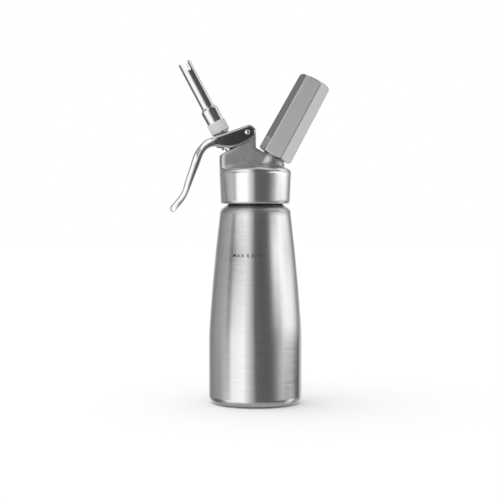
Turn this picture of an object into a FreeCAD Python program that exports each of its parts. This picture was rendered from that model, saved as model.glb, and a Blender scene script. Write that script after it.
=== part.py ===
import FreeCAD, Part
import math
import os

from FreeCAD import Placement, Rotation, Vector

# Whipped cream dispenser: a steel bottle, a screwed-on head with two slanted ports, a press
# lever over the valve stem, a slotted nozzle in a ringed collar, and a hexagonal charger holder.
# Millimetres. The origin is the centre of the bottle's foot, +Z is up, the lever's handle points
# to -X and the charger holder leans to +X.

# ---------------------------------------------------------------- driving dimensions

# Clearances
RUN_GAP = 0.05          # radial, a pin turning in its hole
SCREW_GAP = 0.10        # radial, between the two parts of a screwed joint
SEAT_GAP = 0.05         # between flat faces that meet when screwed home
PRESS_GAP = 0.01        # radial, pieces that are pressed or brazed together
SOFT_GAP = 0.30         # round a soft or a loosely held piece
SOCKET_GAP = 0.15       # radial, between the tip's socket and its O-ring
SPOT_FACE = 7.0         # depth of the spot faces that make room under the dome

# How close a point or a direction must be to count as lying on a face or along a line
NEAR = 0.01
SAME_WAY = 1e-6
BLEND_STEPS = (1.0, 0.75, 0.5, 0.25)    # shares of a blend's radius that are tried in turn

# Bottle
BOTTLE_R = 38.9
BOTTLE_STRAIGHT_TOP = 50.0
FOOT_ROUND = 7.0
BOTTLE_WALL = 1.2
BASE_WALL = 1.6
MOUTH_Z = 187.0
# The wall bends in at the knee (radius, height), then narrows in one long arc to the shoulder.
KNEE = (38.3, 68.0)
TAPER_MID_R = 34.65      # half-way up that arc
# Depths count down from the bottle's mouth, rises count up from it: radius, depth.
TAPER_TOP = (29.7, 28.6)
SHOULDER_MID = (28.2, 25.3)
SHOULDER_TOP = (25.2, 23.4)
NECK_TUBE_R = 21.6

# Threaded ring brazed round the neck
NECK_RING_DEPTH = 21.4
NECK_RING_WALL = 0.8
NECK_THREAD_DEPTH = 16.4
NECK_THREAD_WALL = 3.0
NECK_EDGE = 1.2

# Gasket between the bottle's mouth and the head
GASKET_INSET = 0.2       # how far it stays inside the ring's outside and the neck's wall
GASKET_THICK = 2.0

# Head: skirt and dome
SKIRT_DEPTH = 19.9
SKIRT_FOOT_R = 28.9
SKIRT_RISE = 6.0
SKIRT_TOP_R = 30.0
SKIRT_LIP = 0.6
DOME_EDGE_R = 25.8
DOME_EDGE_RISE = 9.9
DOME_RISE = 13.9
DOME_EDGE_ANGLE = 40.0   # middle of the rounding from the skirt's side to the dome
DOME_CROWN = 0.75        # share of the dome's rise that is reached half-way in
HEAD_CAVITY_RISE = 9.2
HEAD_CAVITY_ROUND = 2.0

# Head: tower between the lever's cheeks
TOWER_HALF = 9.5
TOWER_ROOT_RISE = 2.5
TOWER_RIGHT_X = 0.5
TOWER_CORNER = 3.8
TOWER_TOP_EDGE = 1.3
EAR_R = 4.9
EAR_SIDE_DROP = 3.9       # below the pivot
EAR_FOOT_X = -14.5
EAR_ANGLES = (165.0, 90.0, 20.0)    # left end, top and right end of the ear's round top

# Lever pivot, across the head
PIVOT_X = -6.7
PIVOT_LIFT = 14.4        # above the mouth of the valve port
PIN_R = 2.3
PIN_DOME = 0.5

# Valve port and stem, leaning to -X
STEM_LEAN = 27.9
STEM_X = -20.97
STEM_RISE = 24.9
PORT_R = 6.0
PORT_LEDGE_DEPTH = 17.5
PORT_LEDGE = 2.0
PORT_LEDGE_BORE_R = 4.3
PORT_BOSS_R = 8.2
BUSH_TOP = 0.2
BUSH_LENGTH = 3.0
STEM_R = 3.75
STEM_BORE_R = 1.9
STEM_TAIL_R = 3.0
STEM_LAND_R = 5.7
STEM_LAND_TOP = 3.4
STEM_LAND = 3.0
STEM_JET_R = 1.1
STEM_JET_DEPTH = 9.5
FLANGE_R = 6.0
FLANGE_LIFT = 2.4
FLANGE = 1.8
STEM_STUD_R = 2.9
STEM_SHOULDER = 11.5
STEM_TOP = 17.0
RING_CORD_R = 0.75
RING_GROOVE = 1.3
SPRING_WIRE_R = 0.4
SPRING_R = 4.75
SPRING_TURNS = 6
SPRING_STEPS = 12
SEAL_R = 6.2
SEAL_THICK = 1.6
VALVE_NUT_FLATS = 10.4
VALVE_NUT = 2.2

# Adapter on the stem, and the collar and tip that screw onto it
ADAPTER_HUB_R = 4.6
ADAPTER_CONE_FOOT = 14.4
ADAPTER_CONE_FOOT_R = 5.6
ADAPTER_CONE_R = 7.4
COLLAR_FOOT = 16.9
COLLAR_TOP = 26.1
COLLAR_R = 8.15
COLLAR_GROOVES = 5       # rings cut round it, for the fingers
COLLAR_GROOVE = 0.4
COLLAR_EDGE = 0.5
ADAPTER_THREAD_R = 6.2
ADAPTER_THREAD_TOP = 21.4
ADAPTER_SPIGOT_R = 4.3
ADAPTER_SPIGOT_TOP = 24.4
TIP_RING_CORD_R = 0.6
TIP_FLANGE_R = 7.2
TIP_FLANGE = 1.8
TIP_WAIST_R = 6.6
TIP_BELL_FOOT_R = 7.1
TIP_BELL_TOP_R = 7.4
TIP_BELL_TOP = 36.4
TIP_TUBE_FOOT = 41.0
TIP_TUBE_R = 5.45
TIP_TOP = 81.9
TIP_WALL = 0.8
TIP_SLOT = 4.2
TIP_SLOT_DEPTH = 8.0
TIP_SLOT_TURN = 12.0

# Lever
LEVER_HALF = 12.2
CHEEK_GAP = 0.3
LEVER_TOP_SLOPE = 19.3
LEVER_TOP_LIFT = 5.5
LEVER_END_R = 7.2
WEB = 2.0
WEB_RIGHT_X = -12.9
CHANNEL_LEFT_X = -32.5
WEB_HOLE_R = 6.7
PAD_HALF = 2.2
PAD_INNER = 4.3
PAD_GAP = 0.2
PAD_TOP = 9.0
RIB_INNER = 6.5
HANDLE_HALF = 7.6
HANDLE_END_HALF = 8.4
LEVER_EDGE = 2.0
LEVER_TOP_CORNER = 3.0
LEVER_CHIN_CORNER = 5.0
HANDLE_BACK_CORNER = 4.0
HANDLE_HEEL_CORNER = 2.2
LEVER_MARGIN = 2.0       # how far a cutting shape runs past the lever
CHANNEL_DEPTH = 12.0
PAD_ROOT = 0.4           # how far the pads run into the cheeks
# The lever's outline as (x, z) offsets from the pivot: nose, back of the handle, its end, its
# heel, and back along the inside of the handle and the cheek's lower edge to the chin.
NOSE_CORNER_X = 1.2
NOSE_ANGLE = 38.0
NOSE_FLATTEN = 0.92
CHIN_ANGLE = -27.0
CHIN_DIRECTION = (1.0, 0.85)
HANDLE_OUTER = [(-32.6, -6.1), (-38.5, -10.1), (-41.8, -13.9), (-44.7, -19.0), (-47.7, -28.3),
                (-52.3, -42.3), (-54.5, -49.2), (-57.6, -54.2), (-62.4, -60.0)]
HANDLE_END = (-64.0, -64.4)
HANDLE_HEEL = (-61.4, -66.9)
HANDLE_INNER = [(-56.4, -60.9), (-52.0, -55.2), (-49.3, -49.9), (-46.6, -43.1), (-42.6, -33.0),
                (-39.0, -23.8), (-36.6, -18.0)]
CHEEK_LOWER = [(-33.6, -14.2), (-29.4, -12.1), (-23.5, -12.4), (-17.3, -13.1), (-11.1, -12.6),
               (-4.4, -10.5), (4.1, -5.5)]
# Seen from above, the handle narrows at its waist and rounds off at its tip.
WAIST_X = -42.6
TIP_START = 6.0
TIP_REACH = 1.0
TIP_INSET = 3.2
TIP_DIRECTION = (-0.4, -1.0)

# Charger port, leaning to +X, measured up its axis from the holder's lower end
CHARGER_LEAN = 28.7
CHARGER_X = 15.7
CHARGER_DROP = 5.3       # below the mouth of the valve port
BOSS_R = 10.9
BOSS_TOP = -1.3
BOSS_ROOT = -12.0
BOSS_BLEND = 2.0
SPIGOT_R = 10.1
SPIGOT_RELIEF_R = 9.4
SPIGOT_RELIEF = 1.8
SPIGOT_TOP = 9.0
SPIGOT_EDGE = 0.9
SPIGOT_LEAD = 2.6        # how much the spigot's mouth widens, and over what depth
SPIGOT_LEAD_DEPTH = 2.9
GAS_PASSAGE_R = 1.2
GAS_BOSS_R = 6.2
GAS_BOSS_FOOT = -14.0

# Charger capsule and its holder
CHARGER_R = 9.0
CHARGER_LENGTH = 65.5
CHARGER_NECK_R = 4.4
CHARGER_NECK = 8.0
CHARGER_SHOULDER = 8.5
SHOULDER_BULGE = (1.6, 0.45)    # inside the full radius, and its share of the shoulder's height
CHARGER_WALL = 1.9
CHARGER_FOOT = 4.9
PIERCED_R = 1.3
HOLDER_LENGTH = 72.3
HOLDER_FLATS_FOOT = 25.7
HOLDER_FLATS_TOP = 23.9
HOLDER_TURN = -7.5
HOLDER_FOOT_ROUND = 3.2
HOLDER_TOP_ROUND = 4.0
HOLDER_FOOT_EDGE = 0.9
HOLDER_TOP_EDGE = 2.6
HOLDER_BULGE = (0.72, 0.3)      # share of the rounding's width, and of its height left above it
HOLDER_CORNER_GAP = 0.2
HOLDER_THREAD = 10.5

# Piercing plug and its washer
NEEDLE_R = 0.9
NEEDLE_POINT_R = 0.35
NEEDLE_TOP = 7.0
PLUG_R = 4.0
PLUG_TOP = 3.0
PLUG_FOOT = -3.4
NIPPLE_SEAL_BORE_R = 1.3

# Non-return valve at the foot of the gas passage
CHECK_PLUG_TOP = -9.2
CHECK_TAIL_R = 2.3
CHECK_TAIL_FOOT = -18.2
CHECK_FLANGE_R = 5.2
CHECK_FLANGE = 1.0
CHECK_SLEEVE_R = 3.3
CHECK_SLEEVE_FOOT = -17.8

# ---------------------------------------------------------------- sizes that follow

PORT_BOSS_DEPTH = PORT_LEDGE_DEPTH + PORT_LEDGE
SEAL_TOP = -PORT_BOSS_DEPTH - SEAT_GAP
NUT_TOP = SEAL_TOP - SEAL_THICK - SEAT_GAP
NECK_INNER_R = NECK_TUBE_R - BOTTLE_WALL
NECK_RING_WAIST_R = NECK_TUBE_R + NECK_RING_WALL
NECK_THREAD_R = NECK_TUBE_R + NECK_THREAD_WALL
NECK_RING_FOOT_Z = MOUTH_Z - NECK_RING_DEPTH
NECK_THREAD_FOOT_Z = MOUTH_Z - NECK_THREAD_DEPTH
GASKET_R = NECK_THREAD_R - GASKET_INSET
GASKET_BORE_R = NECK_INNER_R + GASKET_INSET
GASKET_FOOT_Z = MOUTH_Z + SEAT_GAP
GASKET_TOP_Z = GASKET_FOOT_Z + GASKET_THICK
HEAD_SEAT_Z = GASKET_TOP_Z + SEAT_GAP
SKIRT_FOOT_Z = MOUTH_Z - SKIRT_DEPTH
SKIRT_TOP_Z = MOUTH_Z + SKIRT_RISE
DOME_EDGE_Z = MOUTH_Z + DOME_EDGE_RISE
DOME_TOP_Z = MOUTH_Z + DOME_RISE
HEAD_CAVITY_TOP_Z = MOUTH_Z + HEAD_CAVITY_RISE
TOWER_ROOT_Z = MOUTH_Z + TOWER_ROOT_RISE
STEM_Z = MOUTH_Z + STEM_RISE
PIVOT_Z = STEM_Z + PIVOT_LIFT
EAR_SIDE_Z = PIVOT_Z - EAR_SIDE_DROP
CHARGER_Z = STEM_Z - CHARGER_DROP
SKIRT_BORE_R = NECK_THREAD_R + SCREW_GAP
FLANGE_TOP = FLANGE_LIFT + FLANGE
TIP_FLANGE_FOOT = ADAPTER_THREAD_TOP + SEAT_GAP
TIP_FLANGE_TOP = TIP_FLANGE_FOOT + TIP_FLANGE
TIP_RING_MID = (ADAPTER_THREAD_TOP + ADAPTER_SPIGOT_TOP) / 2
CHECK_FLANGE_TOP = GAS_BOSS_FOOT - SEAT_GAP
CHECK_FLANGE_FOOT = CHECK_FLANGE_TOP - CHECK_FLANGE
CHEEK_INNER = TOWER_HALF + CHEEK_GAP
CHARGER_BORE_R = CHARGER_R + SOFT_GAP
HOLDER_BORE_TOP = CHARGER_FOOT + CHARGER_LENGTH + SEAT_GAP
NECK_BORE_R = CHARGER_NECK_R + SOFT_GAP

UP = Vector(0, 0, 1)
ACROSS = Vector(0, 1, 0)

stem_place = Placement(Vector(STEM_X, 0, STEM_Z), Rotation(ACROSS, -STEM_LEAN))
charger_place = Placement(Vector(CHARGER_X, 0, CHARGER_Z), Rotation(ACROSS, CHARGER_LEAN))


# ---------------------------------------------------------------- shape helpers

def line(start, end):
    """Straight edge between two (across, up) points in the XZ plane."""
    return Part.LineSegment(Vector(start[0], 0, start[1]), Vector(end[0], 0, end[1])).toShape()


def arc(start, middle, end):
    """Arc edge through three (across, up) points in the XZ plane."""
    points = [Vector(p[0], 0, p[1]) for p in (start, middle, end)]
    return Part.Arc(*points).toShape()


def spline(points, first, last):
    """Smooth edge through (across, up) points, with its directions at both ends."""
    curve = Part.BSplineCurve()
    curve.interpolate(Points=[Vector(p[0], 0, p[1]) for p in points],
                      InitialTangent=Vector(first[0], 0, first[1]),
                      FinalTangent=Vector(last[0], 0, last[1]))
    return curve.toShape()


def outline(points):
    """Closed flat face in the XZ plane through straight-sided points."""
    corners = [Vector(p[0], 0, p[1]) for p in points]
    return Part.Face(Part.makePolygon(corners + corners[:1]))


def turned(points):
    """Solid of revolution about Z from a closed outline of (radius, height) points."""
    return outline(points).revolve(Vector(0, 0, 0), UP, 360)


def turned_edges(edges):
    """Solid of revolution about Z from the edges of a closed outline."""
    face = Part.Face(Part.Wire(Part.sortEdges(edges)[0]))
    return face.revolve(Vector(0, 0, 0), UP, 360)


def disc(radius, foot, top):
    """Upright cylinder between two heights."""
    return Part.makeCylinder(radius, top - foot, Vector(0, 0, foot))


def tube(radius, bore, foot, top):
    """Upright tube between two heights."""
    return turned([(bore, foot), (radius, foot), (radius, top), (bore, top)])


def slab(face, half):
    """A face in the XZ plane, thickened by the same amount to each side."""
    solid = face.extrude(ACROSS * 2 * half)
    solid.translate(ACROSS * -half)
    return solid


def placed(shape, place):
    """A copy of a shape built about the local Z axis, put on a slanted axis."""
    moved = shape.copy()
    moved.Placement = place.multiply(moved.Placement)
    return moved


def on_charger(height):
    """World (x, z) of a point on the charger's axis, seen from the front."""
    point = charger_place.multVec(Vector(0, 0, height))
    return (point.x, point.z)


def hexagon(flats, height, turn=0.0):
    """Hexagonal wire at a height; turn 0 puts a corner on +X and a flat towards -Y."""
    corner_r = flats / math.sqrt(3)
    angles = [math.radians(60 * i + turn) for i in range(6)]
    corners = [Vector(corner_r * math.cos(a), corner_r * math.sin(a), height) for a in angles]
    return Part.makePolygon(corners + corners[:1])


def ring(radius, cord, height):
    """Ring of round section about the local Z axis."""
    return Part.makeTorus(radius, cord, Vector(0, 0, height))


# ---------------------------------------------------------------- bottle

def below_mouth(point):
    """(radius, height) of a point that is given as (radius, depth below the mouth)."""
    return (point[0], MOUTH_Z - point[1])


def bottle():
    knee_drop = BOTTLE_R - KNEE[0]
    bend_mid = (BOTTLE_R - knee_drop / 4, (BOTTLE_STRAIGHT_TOP + KNEE[1]) / 2)
    taper_top, shoulder_mid, shoulder_top = map(below_mouth, (TAPER_TOP, SHOULDER_MID, SHOULDER_TOP))
    taper_mid = (TAPER_MID_R, (KNEE[1] + taper_top[1]) / 2)
    outer = [(BOTTLE_R, BOTTLE_STRAIGHT_TOP), bend_mid, KNEE, taper_mid, taper_top]
    inner = [(r - BOTTLE_WALL, z) for r, z in outer]
    foot_r = BOTTLE_R - FOOT_ROUND
    side = FOOT_ROUND * math.sin(math.radians(45))
    inner_round = FOOT_ROUND - BOTTLE_WALL
    inner_side = inner_round * math.sin(math.radians(45))
    inner_low = BASE_WALL + inner_round
    shoulder_in = (shoulder_top[0] - BOTTLE_WALL / 2, shoulder_top[1] - BOTTLE_WALL)
    edges = [
        line((0, 0), (foot_r, 0)),
        arc((foot_r, 0), (foot_r + side, FOOT_ROUND - side), (BOTTLE_R, FOOT_ROUND)),
        line((BOTTLE_R, FOOT_ROUND), outer[0]),
        arc(*outer[:3]),
        arc(*outer[2:]),
        arc(outer[-1], shoulder_mid, shoulder_top),
        line(shoulder_top, (NECK_TUBE_R, NECK_RING_FOOT_Z - SEAT_GAP)),
        line((NECK_TUBE_R, NECK_RING_FOOT_Z - SEAT_GAP), (NECK_TUBE_R, MOUTH_Z)),
        line((NECK_TUBE_R, MOUTH_Z), (NECK_INNER_R, MOUTH_Z)),
        line((NECK_INNER_R, MOUTH_Z), (NECK_INNER_R, shoulder_in[1] + BOTTLE_WALL)),
        line((NECK_INNER_R, shoulder_in[1] + BOTTLE_WALL), shoulder_in),
        arc(shoulder_in, (shoulder_mid[0] - BOTTLE_WALL, shoulder_mid[1] - BOTTLE_WALL), inner[-1]),
        arc(*inner[2:]),
        arc(*inner[:3]),
        line(inner[0], (BOTTLE_R - BOTTLE_WALL, inner_low)),
        arc((BOTTLE_R - BOTTLE_WALL, inner_low),
            (foot_r + inner_side, inner_low - inner_side), (foot_r, BASE_WALL)),
        line((foot_r, BASE_WALL), (0, BASE_WALL)),
        line((0, BASE_WALL), (0, 0)),
    ]
    return turned_edges(edges)


def neck_ring():
    bore = NECK_TUBE_R + PRESS_GAP
    slope = NECK_THREAD_R - NECK_RING_WAIST_R
    return turned([
        (bore, NECK_RING_FOOT_Z),
        (NECK_RING_WAIST_R, NECK_RING_FOOT_Z),
        (NECK_RING_WAIST_R, NECK_THREAD_FOOT_Z - slope),
        (NECK_THREAD_R, NECK_THREAD_FOOT_Z),
        (NECK_THREAD_R, MOUTH_Z - NECK_EDGE),
        (NECK_THREAD_R - NECK_EDGE, MOUTH_Z),
        (bore, MOUTH_Z),
    ])


def head_gasket():
    return tube(GASKET_R, GASKET_BORE_R, GASKET_FOOT_Z, GASKET_TOP_Z)


# ---------------------------------------------------------------- head

def skirt_and_dome():
    """The round part of the head as a filled body; its hollow is cut later."""
    middle = math.radians(DOME_EDGE_ANGLE)
    round_mid = (DOME_EDGE_R + (SKIRT_TOP_R - DOME_EDGE_R) * math.cos(middle),
                 SKIRT_TOP_Z + (DOME_EDGE_Z - SKIRT_TOP_Z) * math.sin(middle))
    dome_mid = (DOME_EDGE_R / 2, DOME_EDGE_Z + (DOME_TOP_Z - DOME_EDGE_Z) * DOME_CROWN)
    return turned_edges([
        line((0, SKIRT_FOOT_Z), (SKIRT_FOOT_R - SKIRT_LIP, SKIRT_FOOT_Z)),
        line((SKIRT_FOOT_R - SKIRT_LIP, SKIRT_FOOT_Z), (SKIRT_FOOT_R, SKIRT_FOOT_Z + SKIRT_LIP)),
        line((SKIRT_FOOT_R, SKIRT_FOOT_Z + SKIRT_LIP), (SKIRT_TOP_R, SKIRT_TOP_Z)),
        arc((SKIRT_TOP_R, SKIRT_TOP_Z), round_mid, (DOME_EDGE_R, DOME_EDGE_Z)),
        arc((DOME_EDGE_R, DOME_EDGE_Z), dome_mid, (0, DOME_TOP_Z)),
        line((0, DOME_TOP_Z), (0, SKIRT_FOOT_Z)),
    ])


def ear_point(angle):
    """Point of the ear's round top, by its angle from +X."""
    a = math.radians(angle)
    return (PIVOT_X + EAR_R * math.cos(a), PIVOT_Z + EAR_R * math.sin(a))


def tower():
    """Flat-sided block: left slope square to the stem, ear round the pivot, right slope."""
    rise = math.tan(math.radians(STEM_LEAN))
    left = -SKIRT_TOP_R
    left_corner = (left, STEM_Z + (left - STEM_X) * rise)
    ear_foot = (EAR_FOOT_X, STEM_Z + (EAR_FOOT_X - STEM_X) * rise)
    boss_centre = on_charger(BOSS_TOP)
    fall = math.tan(math.radians(CHARGER_LEAN))
    right_corner = (TOWER_RIGHT_X, boss_centre[1] + (boss_centre[0] - TOWER_RIGHT_X) * fall)
    ear_left, ear_top, ear_right = [ear_point(angle) for angle in EAR_ANGLES]
    edges = [
        line((left, TOWER_ROOT_Z), left_corner),
        line(left_corner, ear_foot),
        line(ear_foot, ear_left),
        arc(ear_left, ear_top, ear_right),
        line(ear_right, (TOWER_RIGHT_X, EAR_SIDE_Z)),
        line((TOWER_RIGHT_X, EAR_SIDE_Z), right_corner),
        line(right_corner, boss_centre),
        line(boss_centre, (boss_centre[0], TOWER_ROOT_Z)),
        line((boss_centre[0], TOWER_ROOT_Z), (left, TOWER_ROOT_Z)),
    ]
    block = slab(Part.Face(Part.Wire(Part.sortEdges(edges)[0])), TOWER_HALF)
    block = block.common(disc(SKIRT_TOP_R, TOWER_ROOT_Z, PIVOT_Z + LEVER_END_R))
    upright = [e for e in block.Edges if runs_along(e, UP) and e.CenterOfMass.x < STEM_X]
    block = block.makeFillet(TOWER_CORNER, upright)
    rim = [e for e in block.Edges if on_slope(e) and not runs_along(e, ACROSS)]
    return block.makeFillet(TOWER_TOP_EDGE, rim)


def runs_along(edge, direction):
    """True for a straight edge parallel to a direction."""
    if edge.Curve.TypeId != "Part::GeomLine":
        return False
    return abs(abs(edge.tangentAt(edge.FirstParameter).dot(direction)) - 1) < SAME_WAY


def edge_points(edge):
    """First, middle and last point of an edge."""
    middle = (edge.FirstParameter + edge.LastParameter) / 2
    return [edge.valueAt(p) for p in (edge.FirstParameter, middle, edge.LastParameter)]


def on_slope(edge):
    """True for an edge that lies on the tower's left slope, square to the stem."""
    normal = stem_place.Rotation.multVec(UP)
    return all(abs((p - stem_place.Base).dot(normal)) < NEAR for p in edge_points(edge))


def charger_boss():
    """Round boss of the charger port, down into the dome."""
    return placed(disc(BOSS_R, BOSS_ROOT, BOSS_TOP), charger_place)


def charger_spigot():
    """Threaded spigot on the boss, with a relief groove at its root."""
    relief_top = BOSS_TOP + SPIGOT_RELIEF
    return placed(turned([
        (0, BOSS_TOP - SPIGOT_RELIEF),
        (SPIGOT_RELIEF_R, BOSS_TOP - SPIGOT_RELIEF),
        (SPIGOT_RELIEF_R, relief_top),
        (SPIGOT_R, relief_top + SPIGOT_R - SPIGOT_RELIEF_R),
        (SPIGOT_R, SPIGOT_TOP - SPIGOT_EDGE),
        (SPIGOT_R - SPIGOT_EDGE, SPIGOT_TOP),
        (0, SPIGOT_TOP),
    ]), charger_place)


def head_hollow():
    """Space inside the skirt: thread bore, gasket seat and the domed cavity above it."""
    corner = HEAD_CAVITY_ROUND
    return turned([
        (0, SKIRT_FOOT_Z - SKIRT_LIP),
        (SKIRT_BORE_R, SKIRT_FOOT_Z - SKIRT_LIP),
        (SKIRT_BORE_R, HEAD_SEAT_Z),
        (NECK_INNER_R, HEAD_SEAT_Z),
        (NECK_INNER_R, HEAD_CAVITY_TOP_Z - corner),
        (NECK_INNER_R - corner, HEAD_CAVITY_TOP_Z),
        (0, HEAD_CAVITY_TOP_Z),
    ])


def valve_port():
    """What is bored out along the stem's axis: the port, its ledge and a spot face below it."""
    ledge = -PORT_LEDGE_DEPTH
    port = disc(PORT_R, ledge, STEM_TOP)
    hole = disc(PORT_LEDGE_BORE_R, -PORT_BOSS_DEPTH, ledge)
    spot_face = disc(SEAL_R + SOFT_GAP, -PORT_BOSS_DEPTH - SPOT_FACE, -PORT_BOSS_DEPTH)
    return placed(port.multiFuse([hole, spot_face]), stem_place)


def gas_port():
    """What is bored out along the charger's axis, with a spot face at its foot."""
    washer_foot = PLUG_TOP + SEAT_GAP
    lead_foot = SPIGOT_TOP - SPIGOT_LEAD_DEPTH
    neck = turned([
        (0, washer_foot),
        (NECK_BORE_R, washer_foot),
        (NECK_BORE_R, lead_foot),
        (NECK_BORE_R + SPIGOT_LEAD, SPIGOT_TOP),
        (0, SPIGOT_TOP),
    ])
    plug = disc(PLUG_R + PRESS_GAP, PLUG_FOOT, washer_foot)
    passage = disc(GAS_PASSAGE_R, CHECK_PLUG_TOP, PLUG_FOOT)
    check = disc(PLUG_R + PRESS_GAP, GAS_BOSS_FOOT, CHECK_PLUG_TOP)
    spot_face = disc(CHECK_FLANGE_R + SOFT_GAP, GAS_BOSS_FOOT - SPOT_FACE, GAS_BOSS_FOOT)
    return placed(neck.multiFuse([plug, passage, check, spot_face]), charger_place)


def on_boss(edge):
    """True for an edge where the charger boss runs into the tower or the dome."""
    axis = charger_place.Rotation.multVec(UP)
    offsets = [p - charger_place.Base for p in edge_points(edge)]
    heights = [offset.dot(axis) for offset in offsets]
    radii = [(offset - axis * h).Length for offset, h in zip(offsets, heights)]
    return all(abs(r - BOSS_R) < NEAR for r in radii) and min(heights) < BOSS_TOP - NEAR


def blended(body, edges, radius):
    """The body with the edges rounded, by less where the full radius doesn't close."""
    for share in BLEND_STEPS:
        try:
            rounded = body.makeFillet(radius * share, edges)
        except Part.OCCError:
            continue
        if rounded.isValid() and len(rounded.Solids) == 1:
            return rounded
    return body


def head_outside():
    """The head as a filled body, with the boss blended into the tower and the dome."""
    body = skirt_and_dome().multiFuse([tower(), charger_boss()]).removeSplitter()
    body = blended(body, [e for e in body.Edges if on_boss(e)], BOSS_BLEND)
    return body.fuse(charger_spigot())


def head():
    body = head_outside().cut(head_hollow())
    bosses = placed(disc(PORT_BOSS_R, -PORT_BOSS_DEPTH, -PORT_LEDGE), stem_place).fuse(
        placed(disc(GAS_BOSS_R, GAS_BOSS_FOOT, BOSS_TOP - SPIGOT_RELIEF), charger_place))
    within = bosses.common(disc(NECK_INNER_R, MOUTH_Z, DOME_EDGE_Z))
    body = body.fuse(within)
    return body.cut(valve_port()).cut(gas_port()).cut(cross_pin(PIN_R + PRESS_GAP, LEVER_HALF))


def cross_pin(radius, half):
    """Cylinder across the head, on the lever's pivot."""
    return Part.makeCylinder(radius, 2 * half, Vector(PIVOT_X, -half, PIVOT_Z), ACROSS)


# ---------------------------------------------------------------- lever

def from_pivot(points):
    """World (x, z) points from offsets measured from the lever's pivot."""
    return [(PIVOT_X + dx, PIVOT_Z + dz) for dx, dz in points]


def top_line(x, depth=0.0):
    """Height of the lever's straight top edge at x, or of a line parallel to it below."""
    slope = math.radians(LEVER_TOP_SLOPE)
    at_pivot = PIVOT_Z + (LEVER_TOP_LIFT - depth) / math.cos(slope)
    return at_pivot + (x - PIVOT_X) * math.tan(slope)


def lever_side():
    """The lever seen from the side, as a face in the XZ plane."""
    slope = math.radians(LEVER_TOP_SLOPE)
    along = (math.cos(slope), math.sin(slope))
    outer = from_pivot(HANDLE_OUTER)
    inner = from_pivot(HANDLE_INNER + CHEEK_LOWER)
    end, heel = from_pivot([HANDLE_END, HANDLE_HEEL])
    top_left = (outer[0][0], top_line(outer[0][0]))
    outer[0] = top_left
    corner_x = PIVOT_X + NOSE_CORNER_X
    top_right = (corner_x, top_line(corner_x))
    nose = (PIVOT_X + LEVER_END_R, PIVOT_Z)
    up = math.radians(NOSE_ANGLE)
    down = math.radians(CHIN_ANGLE)
    nose_mid = (PIVOT_X + LEVER_END_R * math.cos(up),
                PIVOT_Z + LEVER_END_R * math.sin(up) * NOSE_FLATTEN)
    chin_mid = (PIVOT_X + LEVER_END_R * math.cos(down), PIVOT_Z + LEVER_END_R * math.sin(down))
    back_end = (outer[-1][0] - outer[-2][0], outer[-1][1] - outer[-2][1])
    heel_start = (inner[0][0] - heel[0], inner[0][1] - heel[1])
    return Part.Face(Part.Wire(Part.sortEdges([
        line(top_right, top_left),
        spline(outer, (-along[0], -along[1]), back_end),
        arc(outer[-1], end, heel),
        spline([heel] + inner, heel_start, CHIN_DIRECTION),
        arc(inner[-1], chin_mid, nose),
        arc(nose, nose_mid, top_right),
    ])[0]))


def lever_plan():
    """The lever seen from above: full width over the head, narrower along the handle."""
    right = PIVOT_X + LEVER_END_R + LEVER_MARGIN
    shoulder = PIVOT_X + CHEEK_LOWER[0][0]
    end = PIVOT_X + HANDLE_END[0]
    tip_half = HANDLE_END_HALF - TIP_INSET
    half = [Vector(shoulder, LEVER_HALF, 0), Vector(PIVOT_X + WAIST_X, HANDLE_HALF, 0),
            Vector(end + TIP_START, HANDLE_END_HALF, 0), Vector(end - TIP_REACH, tip_half, 0)]
    curve = Part.BSplineCurve()
    curve.interpolate(Points=half, InitialTangent=Vector(-1, 0, 0),
                      FinalTangent=Vector(TIP_DIRECTION[0], TIP_DIRECTION[1], 0))
    side = curve.toShape()
    corner = Vector(right, LEVER_HALF, 0)
    other = Vector(right, -LEVER_HALF, 0)
    face = Part.Face(Part.Wire(Part.sortEdges([
        side,
        side.mirror(Vector(0, 0, 0), ACROSS),
        Part.LineSegment(half[0], corner).toShape(),
        Part.LineSegment(corner, other).toShape(),
        Part.LineSegment(other, Vector(shoulder, -LEVER_HALF, 0)).toShape(),
        Part.LineSegment(half[-1], Vector(half[-1].x, -half[-1].y, 0)).toShape(),
    ])[0]))
    low = PIVOT_Z + HANDLE_HEEL[1] - LEVER_MARGIN
    face.translate(UP * low)
    return face.extrude(UP * (PIVOT_Z + LEVER_END_R + LEVER_MARGIN - low))


def lever_channel():
    """Space between the cheeks, under the web and open to the right of it."""
    low = STEM_Z - CHANNEL_DEPTH
    high = PIVOT_Z + LEVER_END_R + LEVER_MARGIN
    right = PIVOT_X + LEVER_END_R + LEVER_MARGIN
    return slab(outline([
        (CHANNEL_LEFT_X, low),
        (CHANNEL_LEFT_X, top_line(CHANNEL_LEFT_X, WEB)),
        (WEB_RIGHT_X, top_line(WEB_RIGHT_X, WEB)),
        (WEB_RIGHT_X, high),
        (right, high),
        (right, low),
    ]), CHEEK_INNER)


def lever_pads():
    """Pads under the web, one each side of the stem, that push its flange down."""
    foot = FLANGE_TOP + PAD_GAP
    web_foot = ADAPTER_CONE_FOOT - WEB / 2
    root = CHEEK_INNER + PAD_ROOT
    pads = []
    for side in (-1, 1):
        low = foot + PAD_HALF
        pad = Part.makeBox(2 * PAD_HALF, root - PAD_INNER, PAD_TOP - low,
                           Vector(-PAD_HALF, PAD_INNER, low))
        heel = Part.makeCylinder(PAD_HALF, root - PAD_INNER, Vector(0, PAD_INNER, low), ACROSS)
        rib = Part.makeBox(2 * PAD_HALF, root - RIB_INNER, web_foot - PAD_TOP,
                           Vector(-PAD_HALF, RIB_INNER, PAD_TOP))
        solid = pad.multiFuse([heel, rib])
        if side < 0:
            solid = solid.mirror(Vector(0, 0, 0), ACROSS)
        pads.append(placed(solid, stem_place))
    return pads


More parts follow.
